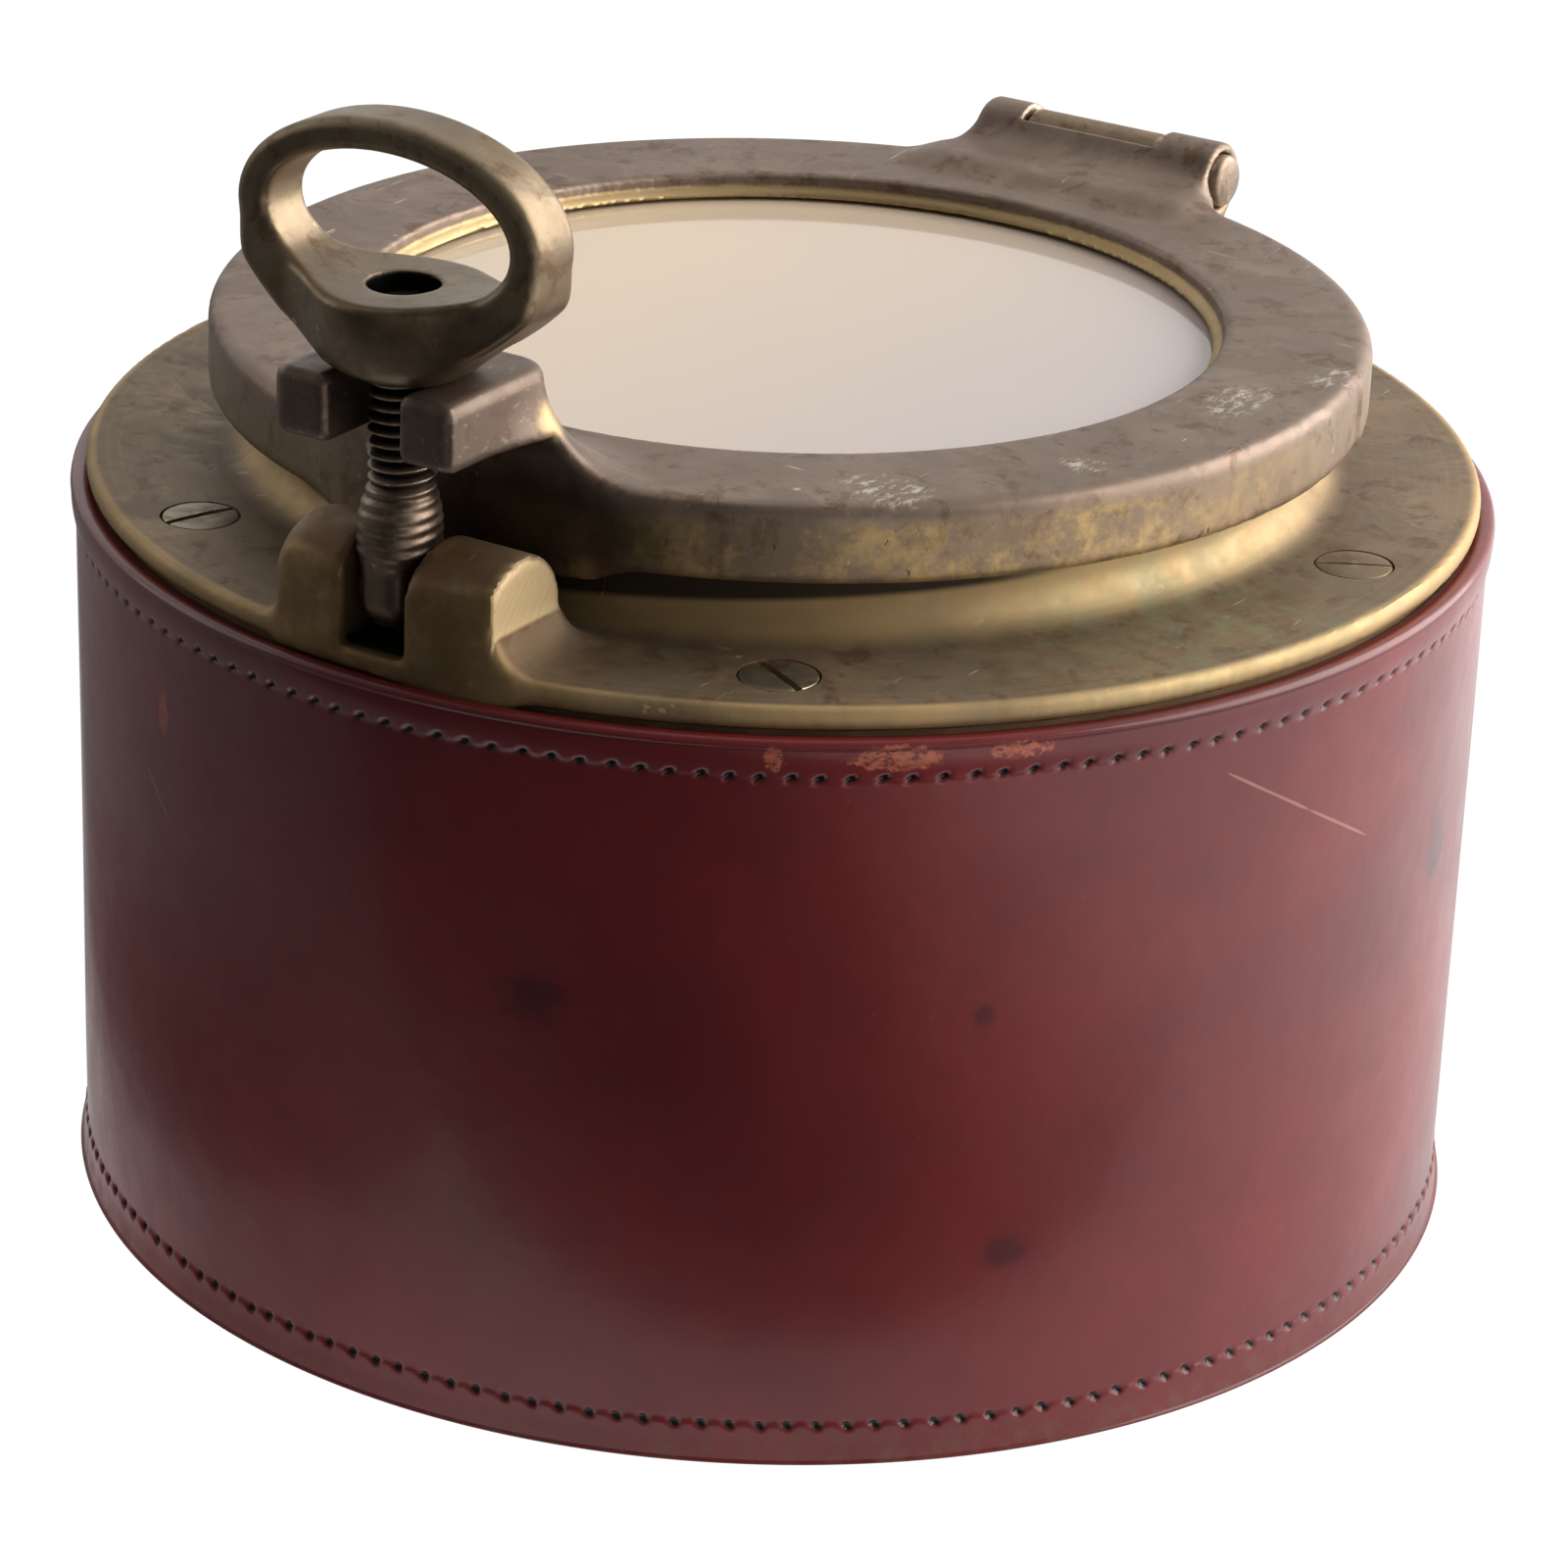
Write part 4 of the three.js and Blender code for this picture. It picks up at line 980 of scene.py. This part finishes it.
def build_pieces():
    flange_brass = brass_look(
        "aged_brass_flange", (0.16, 0.108, 0.065), (0.27, 0.19, 0.115), (0.5, 0.375, 0.2), (0.17, 0.13, 0.09),
        0.6, (0.48, 0.62), metallic=0.6, turned=0.2, extra=flange_extra,
    )
    screw_brass = brass_look(
        "aged_brass_screw", (0.2, 0.16, 0.11), (0.32, 0.265, 0.19), (0.55, 0.45, 0.29), (0.16, 0.13, 0.09),
        0.4, (0.36, 0.5), metallic=0.8,
    )
    lid_bronze = brass_look(
        "aged_bronze_lid", (0.17, 0.12, 0.09), (0.265, 0.197, 0.152), (0.52, 0.41, 0.28), (0.19, 0.14, 0.11),
        0.6, (0.4, 0.54), metallic=0.82, extra=lid_extra,
    )
    nut_brass = brass_look(
        "aged_brass_nut", (0.125, 0.088, 0.054), (0.25, 0.19, 0.12), (0.5, 0.39, 0.24), (0.16, 0.12, 0.08),
        0.5, (0.34, 0.46), metallic=0.85, scratch_scale=0.4, extra=nut_extra,
    )
    bolt_bronze = brass_look(
        "worn_bronze_bolt", (0.14, 0.10, 0.07), (0.30, 0.23, 0.17), (0.6, 0.48, 0.36), (0.12, 0.08, 0.06),
        0.4, (0.32, 0.5), scratch_scale=0.2, extra=bolt_extra,
    )
    clean = plain_metal("clean_brass", (0.72, 0.52, 0.22), (0.5, 0.34, 0.13), 0.25)
    steel = plain_metal("steel", (0.42, 0.42, 0.43), (0.3, 0.3, 0.31), 0.25)
    blued = plain_metal("blued_steel", (0.02, 0.035, 0.12), (0.015, 0.02, 0.07), 0.2)
    wood = soft_look("case_wood", (0.16, 0.08, 0.035), (0.28, 0.16, 0.08), 0.6, 6)
    baize = soft_look("baize", (0.03, 0.05, 0.03), (0.06, 0.08, 0.05), 0.95, 1.2)
    rubber = soft_look("black_gasket", (0.02, 0.018, 0.016), (0.05, 0.04, 0.035), 0.8, 1.5)

    put(make_flange(), "case", flange_brass, "flange_ring", slot="aged_brass_flange")
    for name, x, y, turn in screw_places():
        brass = flange_brass if name == FILLED_SCREW else screw_brass
        put(make_screw(name, x, y, turn), "case", brass, name, slot="aged_brass_screw")
    put(make_leather(), "case", leather_look(), "leather_wrap", slot="burgundy_leather")
    put(make_lid(), "lid", lid_bronze, "lid_ring", slot="aged_bronze_lid")
    put(make_ring_nut(), "ring_nut", nut_brass, "ring_nut", slot="aged_brass_nut")
    put(make_bolt(), "swing_bolt", bolt_bronze, "swing_bolt", slot="worn_bronze_bolt")
    put(make_glass(), "lid", glass_look(), "glass", slot="clear_glass")
    make_pin(lid_bronze)
    dress_cad(wood, "wooden_case")
    dress_cad(baize, "base_pad")
    dress_cad(rubber, "glass_gasket", "lid_seal")
    dress_cad(dial_look(), "dial")
    pillars = [f"{kind}_{i}" for kind in ("plate_pillar", "dial_foot") for i in range(1, 5)]
    wheels = [f"{kind}_wheel" for kind in ("centre", "third", "fourth", "balance", "minute", "hour")]
    plates = ["glass_retaining_ring", "dial_rim_ring", "movement_back_plate", "movement_front_plate"]
    dress_cad(clean, *plates, *pillars, "mainspring_barrel", *wheels)
    screws = [f"movement_screw_{i}" for i in range(1, 4)]
    dress_cad(steel, "swing_bolt_pin", "nut_thrust_washer", "winding_arbor", "escape_wheel", "pallet_lever",
              "click", "cannon_pinion", *screws)
    dress_cad(blued, "hairspring", "hour_hand", "minute_hand", "seconds_hand")
    hour_numerals(soft_look("dial_ink", (0.015, 0.013, 0.012), (0.02, 0.018, 0.016), 0.5, 3))


# ---------------------------------------------------------------- light, floor and camera
AZIMUTH, ELEVATION, DISTANCE, AIM_HEIGHT = 32.0, 23.89, 684.2, 43.0
YAW, PITCH, ROLL, LENS = 0.12, 0.39, -2.07, 123.26
SENSOR = 36.0
PICTURE_CORNERS = ((-0.5, -0.5), (0.5, -0.5), (-0.5, 0.5))
PICTURE_MARGIN = 1.2


def turn_pair(a, b, angle):
    return a * math.cos(angle) - b * math.sin(angle), a * math.sin(angle) + b * math.cos(angle)


def aim_camera():
    az, el, yaw, pitch, roll = (math.radians(v) for v in (AZIMUTH, ELEVATION, YAW, PITCH, ROLL))
    forward = Vector((-math.sin(az) * math.cos(el), math.cos(az) * math.cos(el), -math.sin(el)))
    right = Vector((math.cos(az), math.sin(az), 0))
    up = right.cross(forward)
    eye = (Vector((0, 0, AIM_HEIGHT)) - forward * DISTANCE) * MM
    right, forward = turn_pair(right, forward, yaw)
    up, forward = turn_pair(up, forward, pitch)
    right, up = turn_pair(right, up, roll)
    camera = bpy.data.objects.new("camera", bpy.data.cameras.new("camera"))
    camera.data.lens, camera.data.sensor_width = LENS, SENSOR
    camera.data.clip_start = 0.01
    turned = Matrix((right, up, -forward)).transposed().to_4x4()
    camera.matrix_world = Matrix.Translation(eye) @ turned
    bpy.context.scene.collection.objects.link(camera)
    bpy.context.scene.camera = camera


def soft_box(name, bearing, height, distance, size, watts, colour):
    """A soft box at a bearing in degrees, measured anticlockwise from the camera's side."""
    a = math.radians(AZIMUTH - 90 + bearing)
    lamp = bpy.data.lights.new(name, "AREA")
    lamp.shape, lamp.size, lamp.size_y = "RECTANGLE", size[0], size[1]
    lamp.energy, lamp.color = watts, colour
    obj = bpy.data.objects.new(name, lamp)
    place = Vector((distance * math.cos(a), distance * math.sin(a), height))
    aim = (Vector((0, 0, 0.05)) - place).to_track_quat("-Z", "Y")
    obj.matrix_world = Matrix.Translation(place) @ aim.to_matrix().to_4x4()
    bpy.context.scene.collection.objects.link(obj)


def light_scene():
    soft_box("window_right", 97, 0.6, 1.2, (2.0, 1.3), 44, (1.0, 0.97, 0.94))
    soft_box("window_left", -105, 0.7, 1.4, (0.9, 0.9), 3, (1.0, 0.98, 0.96))


def toward(bearing, length=1.0):
    """A level direction at a bearing measured anticlockwise from the camera's side."""
    a = math.radians(AZIMUTH - 90 + bearing)
    return (length * math.cos(a), length * math.sin(a), 0)


def on_floor(u, v):
    """Where a corner of the square picture falls on the floor, in mm toward the camera and to its right."""
    placed = bpy.context.scene.camera.matrix_world
    ray = placed.to_3x3() @ Vector((u * SENSOR / LENS, v * SENSOR / LENS, -1))
    place = (placed.translation - ray * placed.translation.z / ray.z) / MM
    return place.dot(Vector(toward(0))), place.dot(Vector(toward(90)))


def make_floor():
    """A white sheet that glows evenly where the picture sees it, with a painted shadow past the picture's
    near side, a dimmer painted shade past its left, and a painted pool of sunlight further to the right.
    """
    bpy.ops.mesh.primitive_circle_add(vertices=96, radius=6, fill_type="NGON", location=(0, 0, -0.0002))
    floor = bpy.context.object
    floor.name = "floor"
    look = Look("glowing_sheet_painted_shadow", Roughness=0.9, Specular_IOR_Level=0.0)
    front = look.vector("DOT_PRODUCT", look.place, toward(0))
    side = look.vector("DOT_PRODUCT", look.place, toward(90))
    (near, left), (near_right, right), (far, far_left) = (on_floor(*corner) for corner in PICTURE_CORNERS)
    slope = (near_right - near) / (right - left)
    edge = near - slope * left + PICTURE_MARGIN
    past_front = look.between(look.math("MULTIPLY_ADD", side, -slope, front), edge, edge + 12)
    slope = (far_left - left) / (far - near)
    edge = left - slope * near - PICTURE_MARGIN
    past_left = look.between(look.math("MULTIPLY_ADD", front, -slope, side), edge, edge - 14)
    clear = look.between(look.math("MULTIPLY_ADD", front, 0.25, side), 95, 215)
    ahead = look.times(past_front, look.math("SUBTRACT", 1.0, clear))
    # painted shadow on the floor past the picture's near side, dimmer past its left, for the drum to reflect
    dark = look.most(ahead, look.times(past_left, 0.8))
    # a painted pool of sunlight, brighter further to the right
    sunlit = look.math("MULTIPLY_ADD", look.between(side, 100, 190), 0.4, 1.03)
    glow = look.times(sunlit, look.math("MULTIPLY_ADD", dark, -0.95, 1.0))
    look.set(Base_Color=(0.0, 0.0, 0.0), Emission_Color=(1.0, 0.99, 0.98), Emission_Strength=glow)
    floor.data.materials.append(look.material)


def fill_world():
    """A pale surround, brighter behind the object and to its right than on the camera's side."""
    world = bpy.data.worlds.new("surround")
    bpy.context.scene.world = world
    world.use_nodes = True
    tree = world.node_tree
    shade = tree.nodes["Background"]
    shade.inputs["Color"].default_value = (1.0, 0.985, 0.965, 1)
    place = tree.nodes.new("ShaderNodeTexCoord").outputs["Generated"]
    facing = tree.nodes.new("ShaderNodeVectorMath")
    facing.operation = "DOT_PRODUCT"
    facing.inputs[1].default_value = (*toward(172, 0.84)[:2], 0.54)
    tree.links.new(place, facing.inputs[0])
    ramp = tree.nodes.new("ShaderNodeMapRange")
    ramp.interpolation_type = "SMOOTHSTEP"
    for name, number in zip(("From Min", "From Max", "To Min", "To Max"), (0.25, 0.92, 0.12, 0.93)):
        ramp.inputs[name].default_value = number
    tree.links.new(facing.outputs["Value"], ramp.inputs["Value"])
    tree.links.new(ramp.outputs["Result"], shade.inputs["Strength"])


aim_camera()
build_pieces()
light_scene()
make_floor()
fill_world()
bpy.context.scene.view_settings.view_transform = "Standard"
